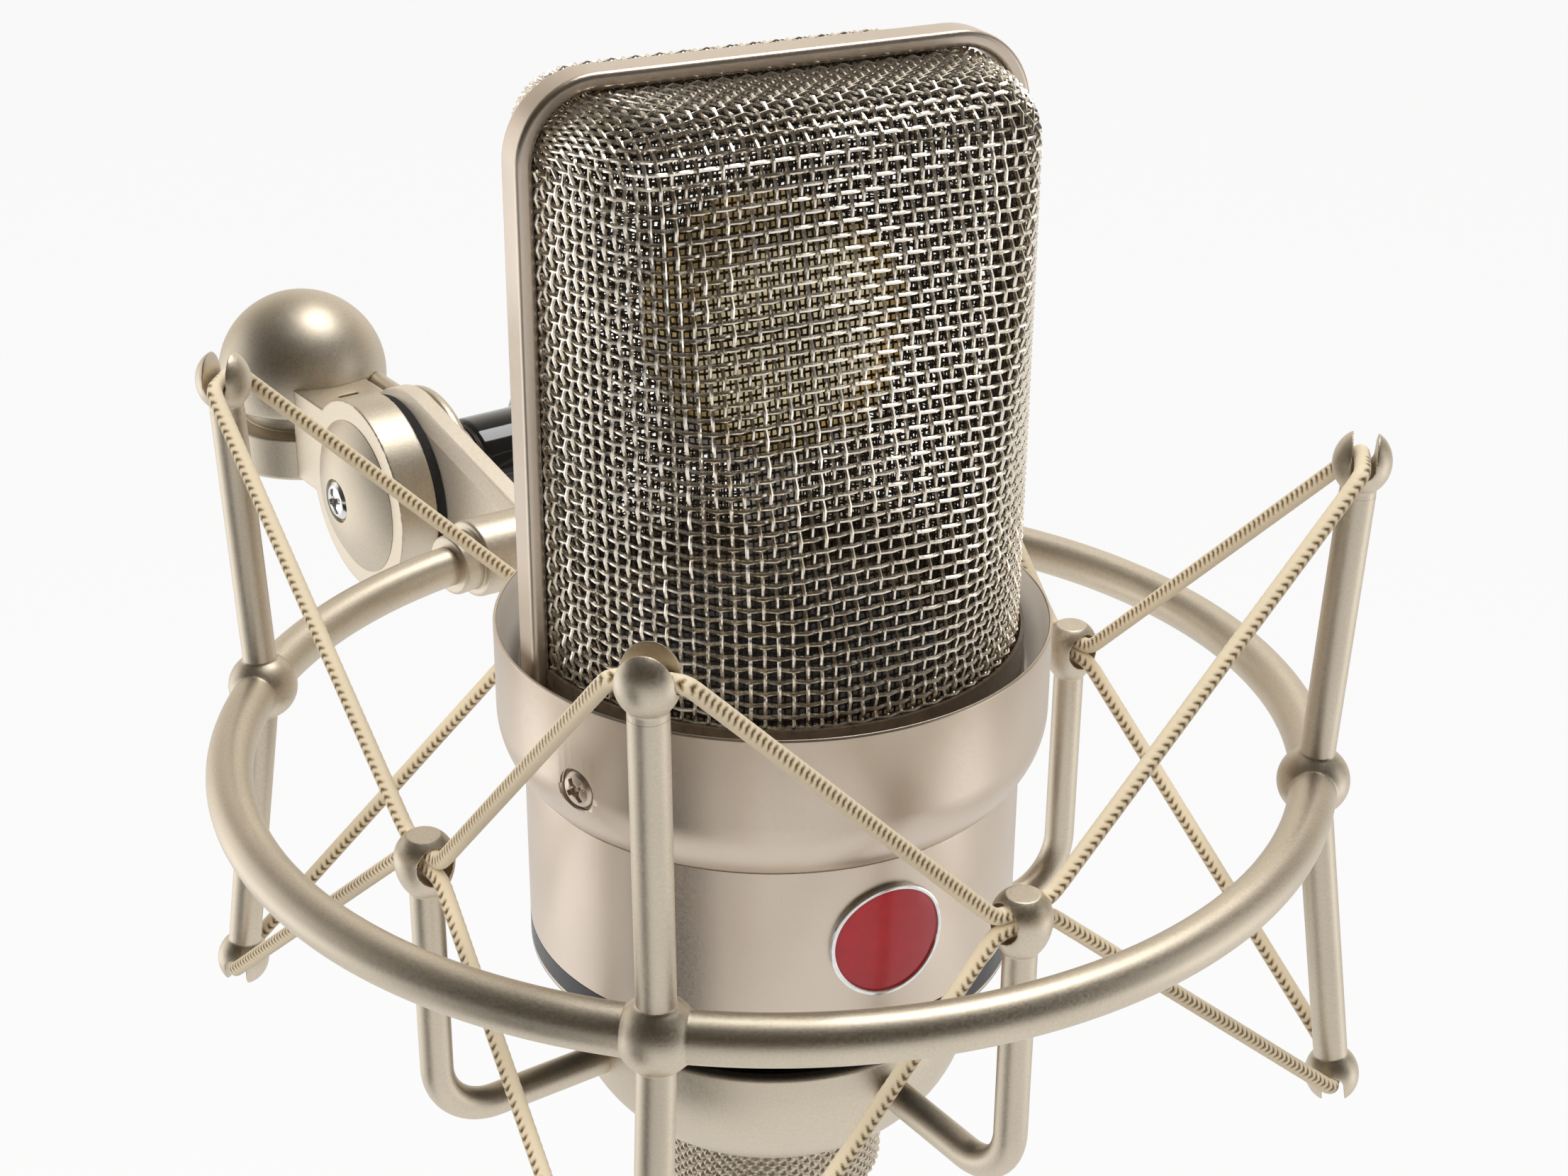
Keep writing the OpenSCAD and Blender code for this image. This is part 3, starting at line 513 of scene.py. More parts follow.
def moulding(name, dark, light, roughness, spread=0.08, relief=0.15, depth=0.0001, **grain):
    """A material with the moulded skin, and its shader."""
    made, tree, shader = new_material(name)
    skin = node(tree, "Group", node_tree=moulded, Dark_tone=(*dark, 1), Light_tone=(*light, 1),
                Smoothest=roughness - spread, Roughest=roughness + spread, **grain)
    put_on(skin, tree, shader, relief, depth)
    return made, shader


# Washer and bolt: a dark friction washer, stamped from fibre, between the disc and the arm; its near black is
# partly painted shade for the dark gap between the disc and the arm. The bolt is plain bright steel, runs
# through all of the swivel and carries the knob.
washer_bore, washer_r, washer_half = 3.2, 16.2, 1
washer_outline = soften([
    (washer_bore, -washer_half), (washer_r, -washer_half, 0.25), (washer_r, washer_half, 0.25),
    (washer_bore, washer_half), (washer_bore, -washer_half)])
fibre, shader = moulding("dark_fibre_and_painted_shade", (0.006, 0.006, 0.006), (0.03, 0.028, 0.026), 0.725, 0.125, relief=0,
                         Grain_size=1800.0, Detail=4.0, Dark_below=0.0, Light_above=1.0)
shader.inputs["Specular IOR Level"].default_value = 0.3
fit("washer", along_x(turned(washer_outline, 96)), swivel, fibre, "stand_head", "dark_washer",
    "friction_washer")
dress(nodes["pivot_bolt"], bright_steel)

# Swivel arm: a cast plate that tapers from a round hub to the ring, with a wide bevel on its left face. At
# its end a stepped sleeve holds the ring. Both are blasted and plated.
arm_foot_r, arm_long, ring_rise = 6.0, 38.75, 2.7
ring_place = Matrix.Translation((0, -0.151, 0.0084))
ring_r, tube_r = 76.2, 3.25
sleeve_r, sleeve_end_r, sleeve_half, step_half = 6.45, 4.95, 15, 11


def wrapped(rows, count, closed=False, caps=True):
    """Faces between rows of points that each run once round a piece."""
    faces = []
    for i in range(rows if closed else rows - 1):
        n = (i + 1) % rows
        for k in range(count):
            j = (k + 1) % count
            faces.append([i * count + k, i * count + j, n * count + j, n * count + k])
    if caps:
        faces += [list(range(count))[::-1], list(range((rows - 1) * count, rows * count))]
    return faces


def polar(r, angle, z):
    """A point at a compass angle in degrees, counted from the front towards +X."""
    return np.array((r * sin(radians(angle)), -r * cos(radians(angle)), z))


arm_foot = np.array((-arm_long, ring_rise))
reach = np.linalg.norm(arm_foot)
lean = np.arcsin((disc_r - arm_foot_r) / reach)
rise = -np.arctan2(ring_rise, arm_long)
hub_turn = np.linspace(-pi / 2 - lean, pi / 2 + lean, 60) + rise
foot_turn = np.linspace(pi / 2 + lean, 1.5 * pi - lean, 32) + rise
plate_outline = [(disc_r * cos(a), disc_r * sin(a)) for a in hub_turn]
plate_outline += [tuple(arm_foot + arm_foot_r * np.array((cos(a), sin(a)))) for a in foot_turn]
plate_outline = np.array(plate_outline)
onward = np.roll(plate_outline, -1, 0) - np.roll(plate_outline, 1, 0)
outward = np.stack([onward[:, 1], -onward[:, 0]], 1)
outward /= np.linalg.norm(outward, axis=1)[:, None]
plate_verts = []
plate_layers = ((1.3, 2.6), (1.36, 2.35), (2.3, 0.45), (2.55, 0.12), (2.9, 0), (5.4, 0), (5.75, 0.15),
                (5.93, 0.4), (6.0, 0.7))
for x, inset in plate_layers:
    plate_verts += [(x, y, z) for y, z in plate_outline - inset * outward]
plate_faces = wrapped(len(plate_layers), len(plate_outline))
# Painted light: the plate gets a paler, half-metallic copy of the plating, so that its left face reads
# bright.
arm_nickel_painted_light = blasted_metal("arm_nickel_painted_light", (0.80, 0.71, 0.58), 0.5, metallic=0.5)
fit("arm_plate", (plate_verts, plate_faces), swivel, arm_nickel_painted_light, "suspension", "satin_nickel", "swivel_arm")

# The sleeve follows the ring, thicker in the middle.
sleeve_outline = soften([
    (-sleeve_half, 0), (-sleeve_half, sleeve_end_r, 0.6), (-step_half, sleeve_end_r, 0.3),
    (-step_half, sleeve_r, 0.7), (step_half, sleeve_r, 0.7), (step_half, sleeve_end_r, 0.3),
    (sleeve_half, sleeve_end_r, 0.6), (sleeve_half, 0)])
sleeve_verts = []
sleeve_angle = 180 - np.degrees(np.arcsin(3.65 / ring_r))
sleeve_sides = 64
for x, r in sleeve_outline:
    angle = sleeve_angle - np.degrees(x / ring_r)
    middle_point = polar(ring_r, angle, 0)
    out = polar(1, angle, 0)
    for s in range(sleeve_sides):
        a = 2 * pi * s / sleeve_sides
        sleeve_verts.append(middle_point + max(r, 0.01) * (cos(a) * out + sin(a) * np.array((0, 0, 1))))
sleeve_faces = wrapped(len(sleeve_outline), sleeve_sides, caps=False)
fit("ring_sleeve", (sleeve_verts, sleeve_faces), ring_place, satin_nickel, "suspension", "satin_nickel",
    "ring_clamp")

# Clamp knob: a gloss black moulding with eight flutes that flares from a narrow neck, on a small plated
# ferrule. It screws on the bolt and squeezes the swivel.
bolt_bore, ferrule_foot, knob_foot, knob_end = 3.1, 10.6, 13.6, 41.6
flutes, flute_depth, flute_start = 8, 2.0, 26.0
ferrule_outline = soften([
    (bolt_bore, ferrule_foot), (7.4, ferrule_foot, 0.6), (8.4, 11.6, 0.9), (8.4, 12.8, 0.9),
    (7.6, knob_foot, 0.5), (bolt_bore, knob_foot), (bolt_bore, ferrule_foot)])
# Painted light: the ferrule gets a paler, partly metallic copy of the plating, so that it reads cream.
ferrule_nickel_painted_light = blasted_metal("ferrule_nickel_painted_light", (0.86, 0.76, 0.62), 0.3, metallic=0.35)
fit("ferrule", along_x(turned(ferrule_outline, 80)), swivel, ferrule_nickel_painted_light, "clamp_knob", "bright_steel",
    "knob_ferrule")
knob_outline = soften([
    (bolt_bore, knob_foot), (8.5, knob_foot, 0.5), (9.0, 14.4, 0.6), (9.0, flute_start, 1.0),
    (13.5, 29.6, 1.6), (13.5, 39.4, 2.2), (11.2, knob_end, 1.6), (0, knob_end)], 8)
knob_verts, knob_faces = turned(knob_outline, 192)
shaped = []
for x, y, z in knob_verts:
    r = sqrt(x * x + y * y)
    depth = flute_depth * np.clip((z - flute_start) / 4, 0, 1) * np.clip((r - 3.2) / 8, 0, 1)
    lobe = (0.5 - 0.5 * cos(flutes * np.arctan2(y, x))) ** 1.6
    k = (r - depth * lobe) / r if r > 1e-6 else 1
    shaped.append((z, x * k, y * k))
gloss_black, shader = moulding("gloss_black", (0.004, 0.004, 0.004), (0.012, 0.012, 0.012), 0.085, 0.035,
                               0.05, 0.0002, Grain_size=220.0, Dark_below=0.0, Light_above=1.0)
shader.inputs["Coat Weight"].default_value = 0.4
shader.inputs["Coat Roughness"].default_value = 0.05
fit("knob", (shaped, knob_faces), swivel, gloss_black, "clamp_knob", "black_plastic", "clamp_knob")

# Outer ring and posts: round bar with a ball at each crossing. Every post ends in balls that are slotted for
# the cord, the slot running along the ring. Brazed together, blasted and plated as one.
post_r, fork_r, cord_r, hub_r = 2.45, 3.9, 1.1, 5.05
top_out, top_h, foot_out, foot_h = 2.0, 47.8, 7.0, 48.1
slot_r, slot_lift = cord_r + 0.5, 0.3
braid_height, braid_sink = 0.2, 0.17


def run_length(path):
    """Distance along a path at each of its points."""
    return np.concatenate([[0], np.cumsum(np.linalg.norm(np.diff(path, axis=0), axis=1))])


def swept(path, radius, sides=16, closed=False, relief=None):
    """Vertices and faces of a round bar along a path. relief(around, along) gives the height of its braid."""
    path = np.asarray(path, float)
    count = len(path)
    if closed:
        tangents = np.roll(path, -1, 0) - np.roll(path, 1, 0)
    else:
        tangents = np.gradient(path, axis=0)
    tangents /= np.linalg.norm(tangents, axis=1)[:, None]
    first = np.cross(tangents[0], (0.31, 0.17, 0.94))
    normal = first / np.linalg.norm(first)
    length = run_length(path)
    turn = 2 * pi * np.arange(sides) / sides
    verts = np.zeros((count, sides, 3))
    for i in range(count):
        normal = normal - np.dot(normal, tangents[i]) * tangents[i]
        normal /= np.linalg.norm(normal)
        side = np.cross(tangents[i], normal)
        r = radius
        if relief is not None:
            r = radius + braid_height * relief(turn / (2 * pi), length[i]) - braid_sink
        verts[i] = path[i] + (np.cos(turn) * r)[:, None] * normal + (np.sin(turn) * r)[:, None] * side
    return verts.reshape(-1, 3).tolist(), wrapped(count, sides, closed, not closed)


def bar(start, end, r, sides=28):
    """Vertices and faces of a straight bar."""
    return swept([start, end], r, sides)


def along_ring(angle):
    """The direction along the ring at a compass angle."""
    return np.array((cos(radians(angle)), sin(radians(angle)), 0))


ring_path = [polar(ring_r, a, 0) for a in np.arange(0, 360, 1.5)]
fit("ring", swept(ring_path, tube_r, 40, True), ring_place, satin_nickel, "suspension", "satin_nickel",
    "outer_ring")

# The fork is a long ball with its slot along X, open to +Z, and a stub of the post under it.
round_ball, ball_faces = ball(np.zeros(3), fork_r, 64)
long_ball = [(x, y, 1.14 * z) for x, y, z in round_ball], ball_faces
fork_parts = [long_ball, bar((0, 0, -6.2), (0, 0, 0), post_r - 0.02)]
fork_slot = [swept([(-8, 0, slot_lift), (8, 0, slot_lift)], slot_r, 32),
             block((-8, -slot_r, slot_lift), (8, slot_r, 8), 0.01)]
fork_ball = melted(fork_parts, fork_slot, 0.13, 4)
hub_ball = None
for name, angle in (("front_left", -45), ("front_right", 45), ("back_right", 135), ("back_left", -135)):
    hub = polar(ring_r, angle, 0)
    top = polar(ring_r + top_out, angle, top_h)
    foot = polar(ring_r + foot_out, angle, -foot_h)
    pieces = []
    for end, start in ((top, hub), (foot, hub)):
        away = (end - start) / np.linalg.norm(end - start)
        tangent = along_ring(angle)
        side = np.cross(away, tangent)
        turn = np.stack([tangent, side, away], 1)
        if np.linalg.det(turn) < 0:
            turn[:, 1] *= -1
        pieces.append(moved(fork_ball, end, turn))
        steps = np.linspace(0, 1, 24)[:, None]
        pieces.append(swept(start + (end - 4.5 * away - start) * steps, post_r, 32))
    arc_stub = [polar(ring_r, angle + d, 0) for d in np.linspace(-6.5, 6.5, 9)]
    up_dir = (top - hub) / np.linalg.norm(top - hub)
    down_dir = (foot - hub) / np.linalg.norm(foot - hub)
    if hub_ball is None:
        # The crossing is shaped once at the front left and turned to the other three.
        hub_angle = angle
        hub_ball = melted(
            [ball(hub, hub_r, 64), swept(arc_stub, tube_r - 0.03, 40),
             bar(hub, hub + 8.5 * up_dir, post_r - 0.03), bar(hub, hub + 8.5 * down_dir, post_r - 0.03)],
            (), 0.18, 8)
    spin = np.array(Matrix.Rotation(radians(angle - hub_angle), 3, "Z"))
    pieces.append(moved(hub_ball, 0, spin))
    fit("post_" + name, joined(*pieces), ring_place, satin_nickel, "suspension", "satin_nickel",
        "post_" + name)

# Basket: a spun cup that the microphone is screwed into, and four bent bars that end in drilled bulbs for the
# cords. Blasted and plated like the ring.
arm_r, arm_bar_r, bulb_r, bulb_z, hole_r, bulb_flat = 56.0, 2.3, 4.1, -1.9, 2.7, 3.4
mic_rise = 19.6  # the collar's rim over the middle of the ring
cup_r, cup_rim, cup_foot, cup_curve = 30.0, -58.6 + mic_rise, -80.0 + mic_rise, 20.0
cup_bore, cup_well, cup_wall, cup_floor, bowl_h = 14.2, 22.4, 2.0, 4, 18.0
arm_level, bend = -64.1 + mic_rise, 9.0
cup_low = -np.degrees(np.arcsin(bowl_h / cup_curve))
cup_outline = [(cup_bore, cup_foot + cup_floor), (cup_bore, cup_foot)]
cup_outline += arc(cup_r - cup_curve, cup_foot + bowl_h, cup_curve, cup_low, 0, 24)
cup_outline += soften([
    (cup_r, cup_rim - 2), (cup_r, cup_rim, 0.7), (cup_r - cup_wall, cup_rim, 0.7),
    (cup_r - cup_wall, cup_rim - 9.4), (cup_well, cup_rim - 9.4), (cup_well, cup_foot + cup_floor),
    (cup_bore, cup_foot + cup_floor)])
fit("cup", turned(cup_outline, 128), ring_place, satin_nickel, "basket", "satin_nickel", "basket_cup")

# The bulb is shaped once, its hole along X, its flat top up, drawn out downwards into its bar.
bulb_ball, bulb_faces = ball(np.zeros(3), bulb_r, 64)
drop = [(x, y, z if z > 0 else 1.5 * z) for x, y, z in bulb_ball], bulb_faces
bulb_parts = [drop, bar((0, 0, -9), (0, 0, 0), arm_bar_r - 0.02)]
bulb_cut = [swept([(-9, 0, 0), (9, 0, 0)], hole_r, 36), block((-9, -9, bulb_flat), (9, 9, 12), 0.01)]
bulb_shape = melted(bulb_parts, bulb_cut, 0.13, 4)
for name, angle in (("front", 0), ("right", 90), ("back", 180), ("left", -90)):
    spin = np.array(Matrix.Rotation(radians(angle), 3, "Z"))
    centre = polar(arm_r, angle, bulb_z)
    route = [polar(arm_r, angle, z) for z in np.linspace(bulb_z - 4, arm_level + bend, 12)]
    route += [polar(arm_r - bend + bend * cos(a), angle, arm_level + bend - bend * sin(a))
              for a in np.linspace(0, pi / 2, 20)[1:]]
    route += [polar(r, angle, arm_level) for r in np.linspace(arm_r - bend, cup_r - 1, 8)[1:]]
    pieces = [moved(bulb_shape, centre, spin), swept(route, arm_bar_r, 32)]
    fit("basket_arm_" + name, joined(*pieces), ring_place, satin_nickel, "basket", "satin_nickel",
        "arm_" + name)

# Elastic cords: rubber core under a braid of beige cotton. Each run goes from a fork to a bulb, where it
# shares the hole with a run of the other loop, and it stretches when the basket moves.
braid_pick, braid_columns, cord_sides = 1.12, 4, 30
fork_run, bulb_run, crossing_lift = fork_r + 0.3, bulb_r + 0.3, 1.2


def braid_relief(around, along):
    """Height of the braid from 0 to 1: leaning strands with gaps along every second seam of its columns."""
    column = around * braid_columns
    inside = column % 1
    odd = np.floor(column) % 2
    from_seam = np.where(odd == 0, inside, 1 - inside)
    strand = np.abs(np.sin(pi * (along / braid_pick + 0.8 * from_seam)))
    gap = (1 - strand) ** 0.9 * np.clip(1.35 - 2.1 * from_seam, 0.1, 1)
    return 1 - gap


def relaxed(path, rounds=60):
    """A path with its corners eased and its ends kept."""
    path = np.array(path)
    for _ in range(rounds):
        path[1:-1] = 0.5 * path[1:-1] + 0.25 * (path[:-2] + path[2:])
    return path


# Painted shade: the braid's colour follows its relief, from dark brown in the gaps between the strands to
# cream on their crowns; the lint noise varies it at random.
cotton, tree, shader = new_material("braided_cotton")
shader.inputs["Roughness"].default_value = 0.75
shader.inputs["Specular IOR Level"].default_value = 0.25
shader.inputs["Sheen Weight"].default_value = 0.25
relief_mark = node(tree, "Attribute", attribute_name="strand")
place = node(tree, "TexCoord")
lint = node(tree, "TexNoise", Scale=5200.0, Detail=2.0)
feed(place, "Object", lint, "Vector")
mix_in = node(tree, "MapRange", To_Min=-0.2, To_Max=0.2)
feed(lint, "Fac", mix_in, "Value")
sum_up = node(tree, "Math", operation="ADD")
feed(relief_mark, "Fac", sum_up, 0)
feed(mix_in, 0, sum_up, 1)
shade = node(tree, "ValToRGB")
shade.color_ramp.elements[0].position = 0.2
shade.color_ramp.elements[0].color = (0.11, 0.065, 0.028, 1)
shade.color_ramp.elements[1].position = 0.85
shade.color_ramp.elements[1].color = (0.86, 0.73, 0.52, 1)
middle_tone = shade.color_ramp.elements.new(0.52)
middle_tone.color = (0.46, 0.34, 0.19, 1)
feed(sum_up, 0, shade, "Fac")
feed(shade, "Color", shader, "Base Color")
fuzz = node(tree, "Bump", Strength=0.3, Distance=0.0001)
feed(lint, "Fac", fuzz, "Height")
feed(fuzz, "Normal", shader, "Normal")

for loop, fork_out, fork_z, lift in (("upper", top_out, top_h, crossing_lift),
                                     ("lower", foot_out, -foot_h, -crossing_lift)):
    number = 0
    for k in range(4):
        for way in (1, -1):
            number += 1
            bulb_angle, fork_angle = 90 * k, 90 * k + 45 * way
            b = polar(arm_r, bulb_angle, bulb_z + lift)
            f = polar(ring_r + fork_out, fork_angle, fork_z)
            bulb_exit = b + bulb_run * way * along_ring(bulb_angle)
            fork_exit = f - fork_run * way * along_ring(fork_angle)
            corners = [b, bulb_exit, fork_exit, f]
            fine = []
            for p, q in zip(corners, corners[1:]):
                steps = max(4, int(np.linalg.norm(q - p) / 0.2))
                fine += [p + (q - p) * t for t in np.linspace(0, 1, steps, endpoint=False)]
            fine = relaxed(fine + [f])
            braided = swept(fine, cord_r, cord_sides, False, braid_relief)
            cord = mesh_piece(f"{loop}_cord_{number}", *braided, ring_place)
            cord.modifiers.clear()
            around = np.arange(cord_sides) / cord_sides
            strand = np.concatenate([braid_relief(around, s) for s in run_length(fine)])
            mark = cord.data.attributes.new("strand", "FLOAT", "POINT")
            mark.data.foreach_set("value", strand.astype(np.float32))
            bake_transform(cord)
            cord.data.materials.append(cotton)
            if number == 1:
                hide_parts(loop + "_elastic")

# Lock nut: a turned nut with a diamond knurl, on the threaded neck of the microphone under the cup. It is
# plated like the cup and clamps the microphone to it.
nut_r, nut_bore, nut_top, nut_h, nut_edge = 17.0, 13.6, -80.3 + mic_rise, 12.5, 0.9
rows, columns = 64, 480
knurl_count, knurl_pitch, knurl_depth = 60, 1.75, 0.5
nut_verts = []
for i in range(rows + 1):
    t = i / rows
    z = nut_top - nut_h * t
    edge = np.clip(min(t, 1 - t) * nut_h / nut_edge, 0, 1)
    for k in range(columns):
        around = knurl_count * k / columns
        a = abs(((around + (z / knurl_pitch)) % 1) - 0.5) * 2
        b = abs(((around - (z / knurl_pitch)) % 1) - 0.5) * 2
        r = nut_r - (1 - edge) * nut_edge - knurl_depth * (1 - min(1, 1.5 * min(a, b))) * edge
        nut_verts.append((r * cos(2 * pi * k / columns), r * sin(2 * pi * k / columns), z))
nut_faces = [[b, a, d, c] for a, b, c, d in wrapped(rows + 1, columns, caps=False)]
bore = turned([(nut_r - nut_edge, nut_top), (nut_bore, nut_top), (nut_bore, nut_top - nut_h),
               (nut_r - nut_edge, nut_top - nut_h)], 120)
nut = joined((nut_verts, nut_faces), bore)
fit("knurled_nut", nut, ring_place, satin_nickel, "lock_nut", "satin_nickel", "lock_nut")

# Microphone base: turned, with a bevel, a drum and the threaded neck, and coloured black as painted shade, so
# that the gap between the tube and the cup reads dark. The output connector sits in the neck.
mic_place = Matrix.Translation((0, -0.151, 0.028)) @ Matrix.Rotation(radians(-8.5), 4, "Z")
fine_skin = dict(dent_size=3600.0, relief=0.05, painted_dent_shade=0.03)
body_nickel = blasted_metal("body_nickel", (0.68, 0.585, 0.49), 0.36, **fine_skin)


def dress_moulded(name, material, dark, light, roughness, **grain):
    """Gives a node of the part a moulded material."""
    dress(nodes[name], moulding(material, dark, light, roughness, **grain)[0])


# Painted shade: the base is black so that the gap under the tube reads dark.
dress_moulded("mic_base", "base_black_painted_shade", (0.006, 0.006, 0.006), (0.014, 0.014, 0.014), 0.4)
gold_plate = blasted_metal("gold_plate", (0.90, 0.64, 0.26), 0.3, 1800.0, 0.04)
dress_moulded("connector_insert", "connector_black", (0.008, 0.008, 0.008), (0.02, 0.02, 0.02), 0.45)
dress(nodes["connector_pins"], gold_plate)

# Body tube: drawn and turned, satin plated, with a bare black band let in near its lower edge and a plain
# round badge of red enamel in a bright rim on the front.
tube_outer, tube_inner, tube_top, tube_foot = 35.3, 33.7, -21.8, -51
groove_r, band_r, band_top, band_low = 34.8, tube_outer + 0.02, -47.22, -50.38
badge_r, enamel_r, badge_z = 8.5, 7.75, -34.06
tube_outline = soften([
    (tube_inner, tube_top), (tube_outer, tube_top, 0.25), (tube_outer, -47.18, 0.05), (groove_r, -47.2, 0.05),
    (groove_r, band_low, 0.05), (tube_outer, -50.4, 0.05), (tube_outer, tube_foot, 0.15),
    (tube_inner, tube_foot), (tube_inner, tube_top)])
fit("tube", turned(tube_outline, 160), mic_place, body_nickel, "basket", "satin_nickel", "housing_tube")
band_black, _ = moulding("band_black", (0.004, 0.004, 0.004), (0.010, 0.010, 0.010), 0.35)
band_outline = soften([(groove_r, band_top), (band_r, band_top, 0.1), (band_r, band_low, 0.1),
                       (groove_r, band_low), (groove_r, band_top)])
fit("band", turned(band_outline, 160), mic_place, band_black, "basket", "dark_band", "label_band")


def badge_shape(profile, steps=96):
    """A profile (radius, height over the tube) turned about the badge's middle and bent round the tube."""
    verts, faces = turned(profile, steps)
    out = []
    for u, v, h in verts:
        a = u / tube_outer
        r = tube_outer + h
        out.append((r * sin(a), -r * cos(a), badge_z + v))
    return out, faces


enamel, shader = moulding("red_enamel", (0.40, 0.006, 0.014), (0.48, 0.010, 0.020), 0.3, Grain_size=300.0)
shader.inputs["Coat Weight"].default_value = 0.2
shader.inputs["Coat Roughness"].default_value = 0.06
disc_profile = [(0, 0.72), (3, 0.71), (5.5, 0.66), (7.0, 0.60), (enamel_r, 0.5), (enamel_r, 0.05)]
fit("badge_enamel", badge_shape(disc_profile), mic_place, enamel, "basket", "red_enamel", "badge")
rim_profile = soften([(enamel_r, 0.05), (enamel_r, 0.85, 0.25), (badge_r, 0.85, 0.4), (badge_r, 0.02)])
fit("badge_rim", badge_shape(rim_profile), mic_place, bright_steel, "basket", "bright_steel")

# Head collar: a turned cup that the grille stands in, with a thin bright lip, plated like the tube. Its mouth
# is
# painted light: a paler, almost non-metallic copy of the plating. Two cross-slot screws hold it to the tube.
collar_r, band_foot, bowl_r, bowl_drop = 39.0, -13.0, 12.315, 8.8
floor_top, floor_low, floor_bore, spigot_in, spigot_out = -8.5, -10.9, 20, 31.9, 33.6
screw_dip, screw_height, screw_turn = collar_r - 0.75, -12.9, 33
bowl_end = -np.degrees(np.arcsin(bowl_drop / bowl_r))
collar_outline = [(floor_bore, floor_low), (floor_bore, floor_top)]
collar_outline += soften([
    (floor_bore, floor_top), (35.5, floor_top, 1.2), (37.6, -3.5, 3.0), (38.55, -0.1, 0.1), (38.75, 0, 0.1),
    (collar_r, -0.25, 0.2), (collar_r, band_foot)])
collar_outline += arc(collar_r - bowl_r, band_foot, bowl_r, 0, bowl_end, 20)[1:]
collar_outline += [(35.2, -21.82), (spigot_out, -21.82), (spigot_out, -26.8), (spigot_in, -26.8),
                   (spigot_in, floor_low), (floor_bore, floor_low)]
collar = fit("collar", turned(collar_outline, 192), mic_place, body_nickel, "basket", "satin_nickel",
             "head_collar")
collar_screw_parts, recess_parts = [], []
for turn in (-68, 112):
    stand = Matrix.Rotation(radians(turn), 3, "Z") @ Matrix.Rotation(radians(90), 3, "X")
    stand = np.array(stand @ Matrix.Rotation(radians(screw_turn), 3, "Z"))
    collar_screw_parts.append(moved(screw_head, polar(screw_dip, turn, screw_height), stand))
    recess_parts.append(moved(rod(3.1, 0.02, 3, 48), polar(screw_dip - 0.4, turn, screw_height), stand))
cutter = mesh_piece("recess_cutter", *joined(*recess_parts), mic_place)
cut = collar.modifiers.new("recess", "BOOLEAN")
cut.object = cutter
collar.modifiers.move(1, 0)
holes = bpy.data.meshes.new_from_object(collar.evaluated_get(bpy.context.evaluated_depsgraph_get()))
collar.modifiers.clear()
collar.data = holes
bpy.data.objects.remove(cutter)
# Painted light: the faces of the mouth inside the lip get the paler copy of the plating, so that the inner
# wall reads bright.
mouth_nickel_painted_light = blasted_metal("mouth_nickel_painted_light", (0.92, 0.84, 0.73), 0.5, metallic=0.1, **fine_skin)
collar.data.materials.append(mouth_nickel_painted_light)
to_mic = mic_place.inverted()
for face in collar.data.polygons:
    spot = to_mic @ face.center * 1000
    if floor_top + 0.05 < spot.z < -0.15 and spot.xy.length < collar_r - 0.5:
        face.material_index = 1
fit("collar_screw_pair", joined(*collar_screw_parts), mic_place, body_nickel, "basket", "bright_steel",
    "collar_screws")

# Grille base: a ring of metal on the collar's floor, dark brown partly in its own tone and partly as painted
# shade in the gap between the wire and the collar. The wire halves are soldered into it, and it is held by
# the collar.
dress_moulded("grille_base", "base_brown_and_painted_shade", (0.05, 0.032, 0.018), (0.09, 0.06, 0.035), 0.3)

# Grille strap: flat bar with rounded edges, bent round the head from one side of the collar to the other. It
# is plated like the body and soldered to the wire.
strap_in, strap_top_in, strap_foot, strap_t, strap_w, corner, edge_r = 34.6, 76.9, -8.4, 2.3, 5.5, 9.0, 0.8
section = []
for cx, cy, start in ((1, 1, 0), (-1, 1, 90), (-1, -1, 180), (1, -1, 270)):
    for a in np.linspace(start, start + 90, 6):
        section.append((strap_t / 2 + cx * (strap_t / 2 - edge_r) + edge_r * cos(radians(a)),
                        cy * (strap_w / 2 - edge_r) + edge_r * sin(radians(a))))
route = [((-strap_in, z), (-1, 0)) for z in np.linspace(strap_foot, strap_top_in - corner, 30)]
route += [((-strap_in + corner - corner * cos(a), strap_top_in - corner + corner * sin(a)), (-cos(a), sin(a)))
          for a in np.linspace(0, pi / 2, 16)[1:]]
route += [((x, strap_top_in), (0, 1)) for x in np.linspace(-strap_in + corner, strap_in - corner, 20)[1:]]
route += [((strap_in - corner + corner * sin(a), strap_top_in - corner + corner * cos(a)), (sin(a), cos(a)))
          for a in np.linspace(0, pi / 2, 16)[1:]]
route += [((strap_in, z), (1, 0)) for z in np.linspace(strap_top_in - corner, strap_foot, 30)[1:]]
strap_verts = []
for (x, z), (nx, nz) in route:
    strap_verts += [(x + nx * h, y, z + nz * h) for h, y in section]
strap_faces = wrapped(len(route), len(section))
fit("strap", (strap_verts, strap_faces), mic_place, body_nickel, "basket", "satin_nickel", "grille_strap")

# Woven grille: two halves of plain-woven wire, pressed to the wedge-shaped head and soldered under the strap,
# with a finer weave behind them. Every wire is modelled and runs over and under those that cross it.
mesh_r, mesh_top, mesh_round, mesh_foot, face_foot = 34.5, 76.8, 9.0, -6.0, 2
straight_top = 66.0  # up to here the wires follow the plan of each level
slope = tan(radians(11.5))
secant = sqrt(1 + slope * slope)


